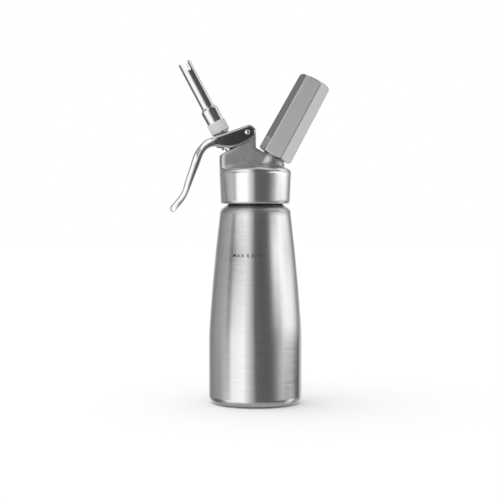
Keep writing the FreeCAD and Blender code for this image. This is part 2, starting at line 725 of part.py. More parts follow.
def lever_blank():
    """The lever as a full bar with all its outer edges rounded."""
    blank = slab(lever_side(), LEVER_HALF).common(lever_plan())
    top_x = PIVOT_X + NOSE_CORNER_X
    chin, heel = from_pivot([CHEEK_LOWER[-1], HANDLE_HEEL])
    back = from_pivot(HANDLE_OUTER)[-1]
    for corner, radius in (((top_x, top_line(top_x)), LEVER_TOP_CORNER),
                           (chin, LEVER_CHIN_CORNER),
                           (back, HANDLE_BACK_CORNER),
                           (heel, HANDLE_HEEL_CORNER)):
        cross = [e for e in blank.Edges if runs_along(e, ACROSS)]
        blank = blank.makeFillet(radius, [min(cross, key=lambda e: gap_in_side_view(e, corner))])
    sides = [e for e in blank.Edges if not runs_along(e, ACROSS) and not runs_along(e, UP)]
    return blank.makeFillet(LEVER_EDGE, [e for e in sides if abs(e.CenterOfMass.y) > HANDLE_HALF / 2])


def gap_in_side_view(edge, point):
    """Distance in the XZ plane from an edge's middle to an (x, z) point."""
    return math.hypot(edge.CenterOfMass.x - point[0], edge.CenterOfMass.z - point[1])


def lever():
    blank = lever_blank().cut(lever_channel())
    body = blank.multiFuse(lever_pads())
    web_hole = placed(disc(WEB_HOLE_R, PAD_TOP, COLLAR_TOP), stem_place)
    return body.cut(web_hole).cut(cross_pin(PIN_R + RUN_GAP, LEVER_HALF + LEVER_MARGIN))


def lever_pin():
    half = LEVER_HALF - PIN_DOME
    shank = cross_pin(PIN_R, half)
    edges = [e for e in shank.Edges if e.Curve.TypeId == "Part::GeomCircle"]
    return shank.makeFillet(PIN_DOME, edges)


# ---------------------------------------------------------------- valve, about the stem's axis

def guide_bush():
    top = -BUSH_TOP
    return placed(tube(PORT_R - PRESS_GAP, STEM_R + RUN_GAP, top - BUSH_LENGTH, top), stem_place)


def valve_stem():
    land_top = -STEM_LAND_TOP
    land_foot = land_top - STEM_LAND
    groove = RING_CORD_R + RUN_GAP
    mid = (land_top + land_foot) / 2
    groove_r = STEM_LAND_R - RING_GROOVE
    tail = NUT_TOP - VALVE_NUT
    body = turned([
        (STEM_BORE_R, -STEM_JET_DEPTH - STEM_JET_R * 2),
        (0, -STEM_JET_DEPTH - STEM_JET_R * 2),
        (0, tail),
        (STEM_TAIL_R, tail),
        (STEM_TAIL_R, land_foot),
        (STEM_LAND_R, land_foot),
        (STEM_LAND_R, mid - groove),
        (groove_r, mid - groove),
        (groove_r, mid + groove),
        (STEM_LAND_R, mid + groove),
        (STEM_LAND_R, land_top),
        (STEM_R, land_top),
        (STEM_R, FLANGE_LIFT),
        (FLANGE_R, FLANGE_LIFT),
        (FLANGE_R, FLANGE_TOP),
        (STEM_R, FLANGE_TOP),
        (STEM_R, STEM_SHOULDER),
        (STEM_STUD_R, STEM_SHOULDER),
        (STEM_STUD_R, STEM_TOP),
        (STEM_BORE_R, STEM_TOP),
    ])
    jet = Part.makeCylinder(STEM_JET_R, 2 * STEM_LAND_R,
                            Vector(0, -STEM_LAND_R, -STEM_JET_DEPTH - STEM_JET_R), ACROSS)
    return placed(body.cut(jet), stem_place)


def stem_o_ring():
    centre = STEM_LAND_R - RING_GROOVE + RUN_GAP + RING_CORD_R
    return placed(ring(centre, RING_CORD_R, -STEM_LAND_TOP - STEM_LAND / 2), stem_place)


def valve_spring():
    """Coil spring as a ruled loft through flat sections set along its helix."""
    foot = -PORT_LEDGE_DEPTH + SEAT_GAP + SPRING_WIRE_R
    top = -STEM_LAND_TOP - STEM_LAND - SEAT_GAP - SPRING_WIRE_R
    count = SPRING_TURNS * SPRING_STEPS
    sections = []
    for i in range(count + 1):
        section = hexagon(SPRING_WIRE_R * math.sqrt(3), 0)
        section.rotate(Vector(0, 0, 0), Vector(1, 0, 0), 90)
        section.translate(Vector(SPRING_R, 0, foot + (top - foot) * i / count))
        section.rotate(Vector(0, 0, 0), UP, 360 * i / SPRING_STEPS)
        sections.append(section)
    return placed(Part.makeLoft(sections, True, True), stem_place)


def valve_seal():
    bore = STEM_TAIL_R + RUN_GAP
    return placed(tube(SEAL_R, bore, SEAL_TOP - SEAL_THICK, SEAL_TOP), stem_place)


def valve_nut():
    foot = NUT_TOP - VALVE_NUT
    body = Part.Face(hexagon(VALVE_NUT_FLATS, foot)).extrude(UP * VALVE_NUT)
    return placed(body.cut(disc(STEM_TAIL_R + PRESS_GAP, foot, NUT_TOP)), stem_place)


def tip_adapter():
    foot = STEM_SHOULDER + SEAT_GAP
    groove = TIP_RING_CORD_R + RUN_GAP
    floor_r = ADAPTER_SPIGOT_R - TIP_RING_CORD_R
    stud_r = STEM_STUD_R + PRESS_GAP
    cone_top = COLLAR_FOOT - SEAT_GAP
    return placed(turned([
        (stud_r, foot),
        (ADAPTER_HUB_R, foot),
        (ADAPTER_HUB_R, ADAPTER_CONE_FOOT),
        (ADAPTER_CONE_FOOT_R, ADAPTER_CONE_FOOT),
        (ADAPTER_CONE_R, cone_top),
        (ADAPTER_THREAD_R, cone_top),
        (ADAPTER_THREAD_R, ADAPTER_THREAD_TOP),
        (ADAPTER_SPIGOT_R, ADAPTER_THREAD_TOP),
        (ADAPTER_SPIGOT_R, TIP_RING_MID - groove),
        (floor_r, TIP_RING_MID - groove),
        (floor_r, TIP_RING_MID + groove),
        (ADAPTER_SPIGOT_R, TIP_RING_MID + groove),
        (ADAPTER_SPIGOT_R, ADAPTER_SPIGOT_TOP),
        (STEM_BORE_R, ADAPTER_SPIGOT_TOP),
        (STEM_BORE_R, STEM_TOP + SEAT_GAP),
        (stud_r, STEM_TOP + SEAT_GAP),
    ]), stem_place)


def tip_o_ring():
    centre = ADAPTER_SPIGOT_R + RUN_GAP
    return placed(ring(centre, TIP_RING_CORD_R, TIP_RING_MID), stem_place)


# ---------------------------------------------------------------- nozzle

def swell(low, high):
    """Two arcs that lead up from a wider radius to a narrower one, upright at both ends."""
    across = (low[0] - high[0]) / 2
    up = (high[1] - low[1]) / 2
    radius = (across ** 2 + up ** 2) / (2 * across)
    half = math.asin(up / radius) / 2
    inward = radius * (1 - math.cos(half))
    along = radius * math.sin(half)
    middle = (high[0] + across, low[1] + up)
    return [arc(low, (low[0] - inward, low[1] + along), middle),
            arc(middle, (high[0] + inward, high[1] - along), high)]


def nozzle_tip():
    bell_foot = COLLAR_TOP + SEAT_GAP
    socket = ADAPTER_SPIGOT_R + TIP_RING_CORD_R + SOCKET_GAP
    socket_top = ADAPTER_SPIGOT_TOP + SEAT_GAP
    bore = TIP_TUBE_R - TIP_WALL
    bell = [
        (socket, TIP_FLANGE_FOOT),
        (TIP_FLANGE_R, TIP_FLANGE_FOOT),
        (TIP_FLANGE_R, TIP_FLANGE_TOP),
        (TIP_WAIST_R, TIP_FLANGE_TOP),
        (TIP_WAIST_R, bell_foot),
        (TIP_BELL_FOOT_R, bell_foot),
        (TIP_BELL_TOP_R, TIP_BELL_TOP),
    ]
    tube_end = [
        (TIP_TUBE_R, TIP_TUBE_FOOT),
        (TIP_TUBE_R, TIP_TOP),
        (bore, TIP_TOP),
        (bore, TIP_TUBE_FOOT),
        (socket, TIP_BELL_TOP),
        (socket, socket_top),
        bell[0],
    ]
    straight = [line(a, b) for run in (bell, tube_end) for a, b in zip(run, run[1:])]
    tip = turned_edges(straight + swell(bell[-1], tube_end[0]))
    slot_round = TIP_SLOT / 2
    slot_foot = TIP_TOP - TIP_SLOT_DEPTH + slot_round
    reach = 2 * TIP_TUBE_R + TIP_SLOT
    for turn in (TIP_SLOT_TURN, TIP_SLOT_TURN + 90):
        slot = Part.makeBox(TIP_SLOT, reach, TIP_SLOT_DEPTH,
                            Vector(-slot_round, -reach / 2, slot_foot))
        foot = Part.makeCylinder(slot_round, reach, Vector(0, -reach / 2, slot_foot), ACROSS)
        cutter = slot.fuse(foot)
        cutter.rotate(Vector(0, 0, 0), UP, turn)
        tip = tip.cut(cutter)
    return placed(tip, stem_place)


def nozzle_collar():
    lip_foot = TIP_FLANGE_TOP + SEAT_GAP
    pitch = (COLLAR_TOP - COLLAR_FOOT - 2 * COLLAR_EDGE) / COLLAR_GROOVES
    inside = [
        (TIP_WAIST_R + SCREW_GAP, COLLAR_TOP),
        (TIP_WAIST_R + SCREW_GAP, lip_foot),
        (TIP_FLANGE_R + SCREW_GAP, lip_foot),
        (TIP_FLANGE_R + SCREW_GAP, TIP_FLANGE_FOOT),
        (ADAPTER_THREAD_R + SCREW_GAP, TIP_FLANGE_FOOT),
        (ADAPTER_THREAD_R + SCREW_GAP, COLLAR_FOOT),
    ]
    outside = [(COLLAR_R - COLLAR_EDGE, COLLAR_FOOT), (COLLAR_R, COLLAR_FOOT + COLLAR_EDGE)]
    for i in range(COLLAR_GROOVES):
        crest = outside[-1][1]
        outside += [(COLLAR_R - COLLAR_GROOVE, crest + pitch / 2), (COLLAR_R, crest + pitch)]
    outside.append((COLLAR_R - COLLAR_EDGE, COLLAR_TOP))
    return placed(turned(inside + outside), stem_place)


# ---------------------------------------------------------------- charger, about its own axis

def charger():
    foot = CHARGER_FOOT
    neck_top = foot + CHARGER_NECK
    shoulder_top = neck_top + CHARGER_SHOULDER
    end = foot + CHARGER_LENGTH
    inner = CHARGER_R - CHARGER_WALL
    inner_end = end - CHARGER_WALL
    outer_mid = CHARGER_R * math.sin(math.radians(45))
    inner_mid = inner * math.sin(math.radians(45))
    bulge = (CHARGER_R - SHOULDER_BULGE[0], neck_top + CHARGER_SHOULDER * SHOULDER_BULGE[1])
    face_z = foot + CHARGER_WALL / 2
    cavity_neck = CHARGER_NECK_R - CHARGER_WALL
    return placed(turned_edges([
        line((PIERCED_R, foot), (CHARGER_NECK_R, foot)),
        line((CHARGER_NECK_R, foot), (CHARGER_NECK_R, neck_top)),
        arc((CHARGER_NECK_R, neck_top), bulge, (CHARGER_R, shoulder_top)),
        line((CHARGER_R, shoulder_top), (CHARGER_R, end - CHARGER_R)),
        arc((CHARGER_R, end - CHARGER_R), (outer_mid, end - CHARGER_R + outer_mid), (0, end)),
        line((0, end), (0, inner_end)),
        arc((0, inner_end), (inner_mid, inner_end - inner + inner_mid), (inner, inner_end - inner)),
        line((inner, inner_end - inner), (inner, shoulder_top)),
        line((inner, shoulder_top), (cavity_neck, neck_top)),
        line((cavity_neck, neck_top), (cavity_neck, face_z)),
        line((cavity_neck, face_z), (PIERCED_R, face_z)),
        line((PIERCED_R, face_z), (PIERCED_R, foot)),
    ]), charger_place)


def charger_holder():
    bar = Part.makeLoft([hexagon(HOLDER_FLATS_FOOT, 0, HOLDER_TURN),
                         hexagon(HOLDER_FLATS_TOP, HOLDER_LENGTH, HOLDER_TURN)], True, True)
    foot_r = HOLDER_FLATS_FOOT / math.sqrt(3) + HOLDER_CORNER_GAP
    top_r = HOLDER_FLATS_TOP / math.sqrt(3) + HOLDER_CORNER_GAP
    foot_face = HOLDER_FLATS_FOOT / 2 - HOLDER_FOOT_EDGE
    top_face = HOLDER_FLATS_TOP / 2 - HOLDER_TOP_EDGE
    out, up = HOLDER_BULGE
    foot_bulge = (foot_face + (foot_r - foot_face) * out, HOLDER_FOOT_ROUND * up)
    top_bulge = (top_face + (top_r - top_face) * out, HOLDER_LENGTH - HOLDER_TOP_ROUND * up)
    top_round = HOLDER_LENGTH - HOLDER_TOP_ROUND
    lathe = turned_edges([
        line((0, 0), (foot_face, 0)),
        arc((foot_face, 0), foot_bulge, (foot_r, HOLDER_FOOT_ROUND)),
        line((foot_r, HOLDER_FOOT_ROUND), (top_r, top_round)),
        arc((top_r, top_round), top_bulge, (top_face, HOLDER_LENGTH)),
        line((top_face, HOLDER_LENGTH), (0, HOLDER_LENGTH)),
        line((0, HOLDER_LENGTH), (0, 0)),
    ])
    thread_r = SPIGOT_R + SCREW_GAP
    dome_foot = HOLDER_BORE_TOP - CHARGER_BORE_R
    dome_mid = CHARGER_BORE_R * math.sin(math.radians(45))
    bore = turned_edges([
        line((0, 0), (thread_r, 0)),
        line((thread_r, 0), (thread_r, HOLDER_THREAD)),
        line((thread_r, HOLDER_THREAD), (CHARGER_BORE_R, HOLDER_THREAD)),
        line((CHARGER_BORE_R, HOLDER_THREAD), (CHARGER_BORE_R, dome_foot)),
        arc((CHARGER_BORE_R, dome_foot), (dome_mid, dome_foot + dome_mid), (0, HOLDER_BORE_TOP)),
        line((0, HOLDER_BORE_TOP), (0, 0)),
    ])
    return placed(bar.common(lathe).cut(bore), charger_place)


def piercing_pin():
    return placed(turned([
        (0, PLUG_FOOT),
        (PLUG_R, PLUG_FOOT),
        (PLUG_R, PLUG_TOP),
        (NEEDLE_R, PLUG_TOP),
        (NEEDLE_R, NEEDLE_TOP - 2 * NEEDLE_R),
        (NEEDLE_POINT_R, NEEDLE_TOP),
        (0, NEEDLE_TOP),
    ]), charger_place)


def nipple_seal():
    return placed(tube(CHARGER_NECK_R, NIPPLE_SEAL_BORE_R, PLUG_TOP + SEAT_GAP,
                       CHARGER_FOOT - SEAT_GAP), charger_place)


def check_valve_plug():
    return placed(turned([
        (0, CHECK_TAIL_FOOT),
        (CHECK_TAIL_R, CHECK_TAIL_FOOT),
        (CHECK_TAIL_R, CHECK_FLANGE_FOOT),
        (CHECK_FLANGE_R, CHECK_FLANGE_FOOT),
        (CHECK_FLANGE_R, CHECK_FLANGE_TOP),
        (PLUG_R, CHECK_FLANGE_TOP),
        (PLUG_R, CHECK_PLUG_TOP),
        (0, CHECK_PLUG_TOP),
    ]), charger_place)


def check_valve_sleeve():
    top = CHECK_FLANGE_FOOT - SEAT_GAP
    bore = CHECK_TAIL_R + RUN_GAP
    return placed(tube(CHECK_SLEEVE_R, bore, CHECK_SLEEVE_FOOT, top), charger_place)


# ---------------------------------------------------------------- build

SUB_PARTS = {
    "bottle": bottle,
    "neck_ring": neck_ring,
    "head_gasket": head_gasket,
    "head": head,
    "lever": lever,
    "lever_pin": lever_pin,
    "guide_bush": guide_bush,
    "valve_stem": valve_stem,
    "stem_o_ring": stem_o_ring,
    "valve_spring": valve_spring,
    "valve_seal": valve_seal,
    "valve_nut": valve_nut,
    "tip_adapter": tip_adapter,
    "tip_o_ring": tip_o_ring,
    "nozzle_tip": nozzle_tip,
    "nozzle_collar": nozzle_collar,
    "charger": charger,
    "charger_holder": charger_holder,
    "piercing_pin": piercing_pin,
    "nipple_seal": nipple_seal,
    "check_valve_plug": check_valve_plug,
    "check_valve_sleeve": check_valve_sleeve,
}

os.makedirs("parts", exist_ok=True)
for name, make in SUB_PARTS.items():
    shape = make()
    print(f"{name}: {len(shape.Solids)} solid(s), {shape.Volume:.1f} mm3, valid {shape.isValid()}")
    shape.exportStep(f"parts/{name}.step")
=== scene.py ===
# %% [markdown]
# # A whipped cream dispenser
# A cream dispenser is a steel bottle with a head screwed onto it. The head carries a press lever
# over a slanted valve stem, a slotted nozzle on top of that stem, and a slanted hexagonal holder
# that takes a small gas capsule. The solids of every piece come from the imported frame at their
# real size, and this lesson dresses them: light, finishes, threads, grooves and the fill mark.

# %% Load the frame
import bpy
import bmesh
import math
from mathutils import Matrix, Vector
from mathutils.bvhtree import BVHTree


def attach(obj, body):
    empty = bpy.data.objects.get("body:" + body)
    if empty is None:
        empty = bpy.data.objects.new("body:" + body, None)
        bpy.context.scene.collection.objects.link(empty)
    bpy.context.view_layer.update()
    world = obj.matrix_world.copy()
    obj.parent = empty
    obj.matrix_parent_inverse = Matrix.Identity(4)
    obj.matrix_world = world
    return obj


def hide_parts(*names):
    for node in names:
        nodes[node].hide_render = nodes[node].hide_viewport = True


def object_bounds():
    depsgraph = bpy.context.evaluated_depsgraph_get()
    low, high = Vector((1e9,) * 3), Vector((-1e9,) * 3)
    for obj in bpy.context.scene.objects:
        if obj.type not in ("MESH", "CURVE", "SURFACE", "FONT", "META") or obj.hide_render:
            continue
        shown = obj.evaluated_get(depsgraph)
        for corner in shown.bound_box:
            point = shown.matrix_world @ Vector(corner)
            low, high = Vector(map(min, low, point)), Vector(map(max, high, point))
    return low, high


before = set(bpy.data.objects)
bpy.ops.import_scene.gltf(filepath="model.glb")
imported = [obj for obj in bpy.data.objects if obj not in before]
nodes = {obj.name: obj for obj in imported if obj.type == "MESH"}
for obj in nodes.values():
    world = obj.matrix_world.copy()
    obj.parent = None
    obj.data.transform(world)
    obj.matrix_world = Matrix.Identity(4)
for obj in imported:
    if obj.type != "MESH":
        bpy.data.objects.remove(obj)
cad_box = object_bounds()
MM = 0.001
print("pieces in the frame:", len(nodes))
print("box of the solids in mm:", [[round(v / MM, 1) for v in corner] for corner in cad_box])

# %% [markdown]
# ## The camera
# A product picture is taken from far away with a long lens, so that upright edges stay upright.
# The camera stands about a metre in front of the dispenser, a little above its middle, and looks
# slightly down. Its place is given in real sizes, so any other view can be worked out from it.

# %% Camera
CAMERA_DISTANCE = 1131 * MM
CAMERA_HEIGHT = 168 * MM
CAMERA_SIDE = -4.5 * MM
AIM_HEIGHT = 128.3 * MM
SENSOR = 36.0
LENS = 97.3


def in_scene(name, data):
    """An object of the given data, linked into the scene."""
    thing = bpy.data.objects.new(name, data)
    bpy.context.scene.collection.objects.link(thing)
    return thing


def make_camera():
    """A camera in front of the dispenser, aimed at the middle of its height."""
    data = bpy.data.cameras.new("product_camera")
    data.sensor_width = SENSOR
    data.lens = LENS
    camera = in_scene("product_camera", data)
    camera.location = (CAMERA_SIDE, -CAMERA_DISTANCE, CAMERA_HEIGHT)
    aim = Vector((CAMERA_SIDE, 0, AIM_HEIGHT))
    camera.rotation_euler = (aim - camera.location).to_track_quat("-Z", "Y").to_euler()
    return camera


bpy.context.scene.camera = make_camera()
print("camera pitch in degrees:",
      round(math.degrees(math.atan((AIM_HEIGHT - CAMERA_HEIGHT) / CAMERA_DISTANCE)), 2))

# %% [markdown]
# ## Helpers for node trees
# The light, every finish and the lathe are trees of nodes. One helper adds a node with its
# settings and its inputs, each linked or set, and a few more stand for the steps that come up
# most: a calculation, a vector taken apart or put together, a blend, and a change of range.

# %% Node helpers
def fill(tree, node, inputs):
    """Links each input to another node's output, or sets it to a number, vector or colour."""
    for name, value in inputs.items():
        if isinstance(value, bpy.types.NodeSocket):
            tree.links.new(value, node.inputs[name])
        else:
            node.inputs[name].default_value = value


def add(tree, kind, inputs=None, **settings):
    """Adds a node with its settings and its inputs."""
    node = tree.nodes.new(kind)
    for name, value in settings.items():
        setattr(node, name, value)
    fill(tree, node, inputs or {})
    return node


def fed_by(socket):
    """What a socket takes now: another node's output, or its own number."""
    return socket.links[0].from_socket if socket.links else socket.default_value


def math_node(tree, operation, *values):
    """One maths step; each input is a socket or a number."""
    step = add(tree, "ShaderNodeMath", dict(enumerate(values)), operation=operation)
    return step.outputs["Value"]


def axes(tree, vector):
    """The three parts of a vector."""
    parts = add(tree, "ShaderNodeSeparateXYZ", {"Vector": vector}).outputs
    return [parts[axis] for axis in "XYZ"]


def joined(tree, *values):
    """A vector made of its parts, in the order x, y, z."""
    return add(tree, "ShaderNodeCombineXYZ", dict(zip("XYZ", values))).outputs["Vector"]


def blend(tree, share, first, second, kind="FLOAT"):
    """The first value where the share is zero, and the second where it is one."""
    values = {"Factor": share, "A": first, "B": second}
    return add(tree, "ShaderNodeMix", values, data_type=kind).outputs["Result"]


def remap(tree, value, start, end, low=0.0, high=1.0, smooth=False):
    """The value moved from one range to another, and held at both ends."""
    ranges = {"Value": value, "From Min": start, "From Max": end, "To Min": low, "To Max": high}
    way = "SMOOTHSTEP" if smooth else "LINEAR"
    return add(tree, "ShaderNodeMapRange", ranges, interpolation_type=way).outputs["Result"]


def grey(level):
    """A neutral colour."""
    return (level, level, level, 1)


print("helpers for node trees:", 9)

# %% [markdown]
# ## The studio
# Polished and brushed metal has hardly any colour of its own: it shows the room round it. A
# studio therefore builds a room for it, with two tall soft boxes, black cards between them and a
# white sweep behind. Here that room is painted on the world, and only mirror-like rays see it. The
# paint is a colour ramp over the bearing, and it changes from zone to zone upwards,
# because a face that leans up or down shows another part of the room. Diffuse surfaces get soft
# white light, a little stronger from the left so that round things look round, and the eye sees
# white.

# %% Paint of the room
# Each zone is a list of bearings in degrees (0 is behind the camera, 90 is on the right) and the
# brightness of the room there.
FLOOR_ROOM = [
    (-180, 1.00), (-150, 0.40), (-132, 0.15), (-100, 0.15), (-88, 0.60), (-74, 1.20),
    (-30, 1.35), (-14, 0.70), (-4, 0.40), (6, 0.18), (30, 0.13), (84, 0.12), (97, 1.06),
    (111, 1.06), (118, 0.36), (148, 0.36), (165, 0.80), (180, 1.00),
]
BASE_ROOM = [
    (-180, 1.00), (-160, 0.55), (-140, 0.25), (-123, 0.38), (-100, 0.48), (-84, 0.60),
    (-70, 0.50), (-61, 1.15), (-30, 1.30), (-24, 1.00), (-14, 0.70), (-9, 0.56), (-6.4, 0.46),
    (-2.5, 0.30), (1.5, 0.14), (6, 0.11), (37, 0.13), (45, 0.18), (53, 0.36), (60, 0.62),
    (67, 0.80), (74, 0.74), (82, 0.50), (90, 0.26), (100, 0.09), (128, 0.02), (136, 0.15),
    (144, 0.60), (160, 0.80), (180, 1.00),
]
LOWER_ROOM = [
    (-180, 1.00), (-160, 0.55), (-140, 0.25), (-123, 0.38), (-100, 0.48), (-84, 0.60),
    (-70, 0.48), (-61, 1.30), (-30, 1.50), (-24, 1.10), (-14, 0.70), (-9, 0.56), (-6.4, 0.46),
    (-2.5, 0.32), (-1.9, 0.04), (1.5, 0.04), (3, 0.20), (9, 0.16), (24, 0.12), (56, 0.15),
    (66, 0.34), (76, 1.20), (88, 1.60), (106, 1.65), (120, 1.10), (134, 0.45), (149, 0.25),
    (164, 0.90), (180, 1.00),
]
UPPER_ROOM = [
    (-180, 1.00), (-162, 0.95), (-148, 0.60), (-136, 0.22), (-118, 0.30), (-104, 0.42),
    (-84, 0.40), (-77, 0.05), (-60, 0.03), (-49, 0.42), (-32, 0.66), (-22, 0.80), (-14, 0.62),
    (-6, 0.24), (0, 0.18), (10, 0.10), (24, 0.13), (35, 0.20), (42, 0.50), (50, 1.35),
    (58, 1.85), (72, 1.85), (86, 1.35), (98, 0.70), (108, 0.48), (118, 0.40), (130, 0.55),
    (142, 0.25), (152, 0.30), (164, 0.95), (180, 1.00),
]
HIGH_ROOM = [
    (-180, 1.00), (-158, 0.35), (-140, 0.16), (-112, 0.12), (-92, 0.50), (-60, 1.20),
    (-25, 1.20), (-8, 0.35), (0, 0.10), (78, 0.10), (92, 0.45), (104, 1.10), (124, 1.10),
    (138, 0.40), (152, 0.40), (165, 0.90), (180, 1.00),
]
CEILING_ROOM = [
    (-180, 0.70), (-130, 0.30), (-118, 0.20), (-86, 0.28), (-76, 0.60), (-50, 0.95), (-34, 0.90),
    (-24, 0.45), (-12, 0.28), (10, 0.13), (22, 0.18), (46, 0.26), (62, 0.50), (76, 0.80),
    (100, 0.70), (140, 0.70), (180, 0.70),
]
UNDERFOOT = 0.42        # plain zones: straight down and straight up
OVERHEAD = 0.70
# What takes over from the floor's zone, and between which two heights in degrees.
ZONES = [
    (UNDERFOOT, -26, -48), (BASE_ROOM, -14, -10), (LOWER_ROOM, -5.5, -1.5),
    (UPPER_ROOM, 4.5, 5.5), (HIGH_ROOM, 14, 18), (CEILING_ROOM, 34, 50), (OVERHEAD, 80, 88),
]
print("zones of the room:", 1 + len(ZONES))

# %% Studio round the object
SIDE_LIGHT = -0.45      # soft light is that much stronger on the left, and weaker on the right


def bearing_ramp(tree, bearing, stops):
    """Colour ramp over the bearing, which comes in radians."""
    ramp = add(tree, "ShaderNodeValToRGB", {"Fac": remap(tree, bearing, -math.pi, math.pi)})
    elements = ramp.color_ramp.elements
    elements.remove(elements[-1])
    for index, (degrees, level) in enumerate(stops):
        place = (degrees + 180) / 360
        element = elements[0] if index == 0 else elements.new(place)
        element.position = place
        element.color = grey(level)
    return ramp.outputs["Color"]


def painted_room(tree, x, y, z):
    """Colour of the room in the direction x, y, z, built up zone by zone."""
    bearing = math_node(tree, "ARCTAN2", x, math_node(tree, "MULTIPLY", y, -1.0))
    height = math_node(tree, "ARCSINE", z)
    colour = bearing_ramp(tree, bearing, FLOOR_ROOM)
    for paint, start, full in ZONES:
        share = remap(tree, height, math.radians(start), math.radians(full), smooth=True)
        zone = bearing_ramp(tree, bearing, paint) if isinstance(paint, list) else grey(paint)
        colour = blend(tree, share, colour, zone, "RGBA")
    return colour


def for_glossy_rays(tree, rays, plain, mirrored, output):
    """Gives mirror-like rays one shader and all other rays another."""
    mix = add(tree, "ShaderNodeMixShader", {0: rays.outputs["Is Glossy Ray"], 1: plain,
                                            2: mirrored})
    fill(tree, tree.nodes[output], {"Surface": mix.outputs["Shader"]})


def make_world():
    """White to the eye and to diffuse light, and a studio's room to mirror-like rays."""
    world = bpy.data.worlds.new("studio")
    world.use_nodes = True
    tree = world.node_tree
    x, y, z = axes(tree, add(tree, "ShaderNodeTexCoord").outputs["Generated"])
    rays = add(tree, "ShaderNodeLightPath")
    plain = tree.nodes["Background"]
    aside = math_node(tree, "MULTIPLY", x, rays.outputs["Is Diffuse Ray"])
    fill(tree, plain, {"Color": grey(1.0),
                       "Strength": math_node(tree, "MULTIPLY_ADD", aside, SIDE_LIGHT, 1.0)})
    studio = add(tree, "ShaderNodeBackground", {"Color": painted_room(tree, x, y, z)})
    for_glossy_rays(tree, rays, plain.outputs["Background"], studio.outputs["Background"],
                    "World Output")
    return world


bpy.context.scene.world = make_world()
bpy.context.scene.view_settings.view_transform = "Standard"
print("nodes in the world:", len(bpy.context.scene.world.node_tree.nodes))

# %% [markdown]
# ## The floor
# The dispenser stands on a white sweep. The floor is a plain white sheet that takes the soft
# shadow of the foot. To the eye it glows a little, so that it runs into the white behind it
# without an edge, and the shadow stays. Mirror-like rays pass through it, so that the metal shows
# one room all the way down.

# %% Floor
FLOOR_SIZE = 8.0
FLOOR_WHITE = grey(0.93)
FLOOR_ROUGHNESS = 0.9
FLOOR_GLOW = 0.10


def tree_and_shader(material):
    """A material's node tree and the shader in it."""
    return material.node_tree, material.node_tree.nodes["Principled BSDF"]


def new_material(name):
    """A material with its node tree and its shader."""
    material = bpy.data.materials.new(name)
    material.use_nodes = True
    return (material, *tree_and_shader(material))


def white_paper():
    """White paper that glows a little to the eye and isn't there for mirror-like rays."""
    paper, tree, shader = new_material("white_paper")
    rays = add(tree, "ShaderNodeLightPath")
    glow = math_node(tree, "MULTIPLY", rays.outputs["Is Camera Ray"], FLOOR_GLOW)
    fill(tree, shader, {"Base Color": FLOOR_WHITE, "Roughness": FLOOR_ROUGHNESS,
                        "Specular IOR Level": 0.0, "Emission Color": grey(1.0),
                        "Emission Strength": glow})
    clear = add(tree, "ShaderNodeBsdfTransparent")
    for_glossy_rays(tree, rays, shader.outputs["BSDF"], clear.outputs["BSDF"], "Material Output")
    return paper


def make_floor():
    """A white sheet at the height of the bottle's foot."""
    mesh = bpy.data.meshes.new("floor")
    half = FLOOR_SIZE / 2
    mesh.from_pydata([(-half, -half, 0), (half, -half, 0), (half, half, 0), (-half, half, 0)],
                     [], [(0, 1, 2, 3)])
    mesh.materials.append(white_paper())
    floor = in_scene("floor", mesh)
    return floor


floor = make_floor()
print("floor is", FLOOR_SIZE, "m wide")

# %% [markdown]
# ## Lines, grain and relief
# No metal is one flat colour. Noise that is pulled out long and thin makes the lines of a brush,
# and even noise makes a grain. The noise then varies the colour, the roughness and the height of
# the surface a little. It is laid out in the piece's own coordinates, so it moves with the piece,
# and where a piece leans, the coordinates are turned onto its axis first.

# %% Noise, colour and relief
NOISE_ROUGHNESS = 0.6
NOISE_MIDDLE = (0.3, 0.7)       # nearly all of the noise lies between these values


def stretched(tree, stretch=(1, 1, 1), turn=(0, 0, 0), place=(0, 0, 0)):
    """Object coordinates, moved and turned onto a piece's own axis and then stretched."""
    onto_axis = add(tree, "ShaderNodeMapping", {
        "Vector": add(tree, "ShaderNodeTexCoord").outputs["Object"], "Location": place,
        "Rotation": turn}, vector_type="TEXTURE")
    pulled = {"Vector": onto_axis.outputs["Vector"], "Scale": stretch}
    return add(tree, "ShaderNodeMapping", pulled).outputs["Vector"]


def noise(tree, coordinates, detail=4.0):
    """Noise texture over the given coordinates."""
    return add(tree, "ShaderNodeTexNoise", {
        "Vector": coordinates, "Scale": 1.0, "Detail": detail,
        "Roughness": NOISE_ROUGHNESS}).outputs["Fac"]


def spread(tree, value, low, high):
    """The noise, from its middle range, spread between two limits."""
    return remap(tree, value, *NOISE_MIDDLE, low, high)


def tint(tree, value, colour, change):
    """The colour, made darker and lighter by a share as the value goes from low to high."""
    ramp = add(tree, "ShaderNodeValToRGB", {"Fac": spread(tree, value, 0.0, 1.0)})
    for element, factor in zip(ramp.color_ramp.elements, (1 - change, 1 + change)):
        element.color = (*[min(1.0, part * factor) for part in colour], 1)
    return ramp.outputs["Color"]


def bump(tree, value, strength, distance, base=None):
    """Surface normal raised by the value, on top of another normal where one is given."""
    inputs = {"Strength": strength, "Distance": distance, "Height": value}
    if base is not None:
        inputs["Normal"] = base
    return add(tree, "ShaderNodeBump", inputs).outputs["Normal"]


def surface(tree, shader, colour, roughness, normal, metallic=1.0):
    """Gives the shader its colour, its roughness and its relief."""
    fill(tree, shader, {"Base Color": colour, "Roughness": roughness, "Normal": normal,
                        "Metallic": metallic})


print("noise is spread from", NOISE_MIDDLE)

# %% [markdown]
# ## Brushed metal
# Stainless steel is brushed by an abrasive belt or wheel. The belt leaves fine lines along its
# path, so light spreads across the lines and hardly along them: that is what an anisotropic
# shader does. Hair lines and broader streaks are mixed. Polishing also takes the sharpness off
# the edges. A real fillet would need another solid, so a Bevel node rounds only the normal there.

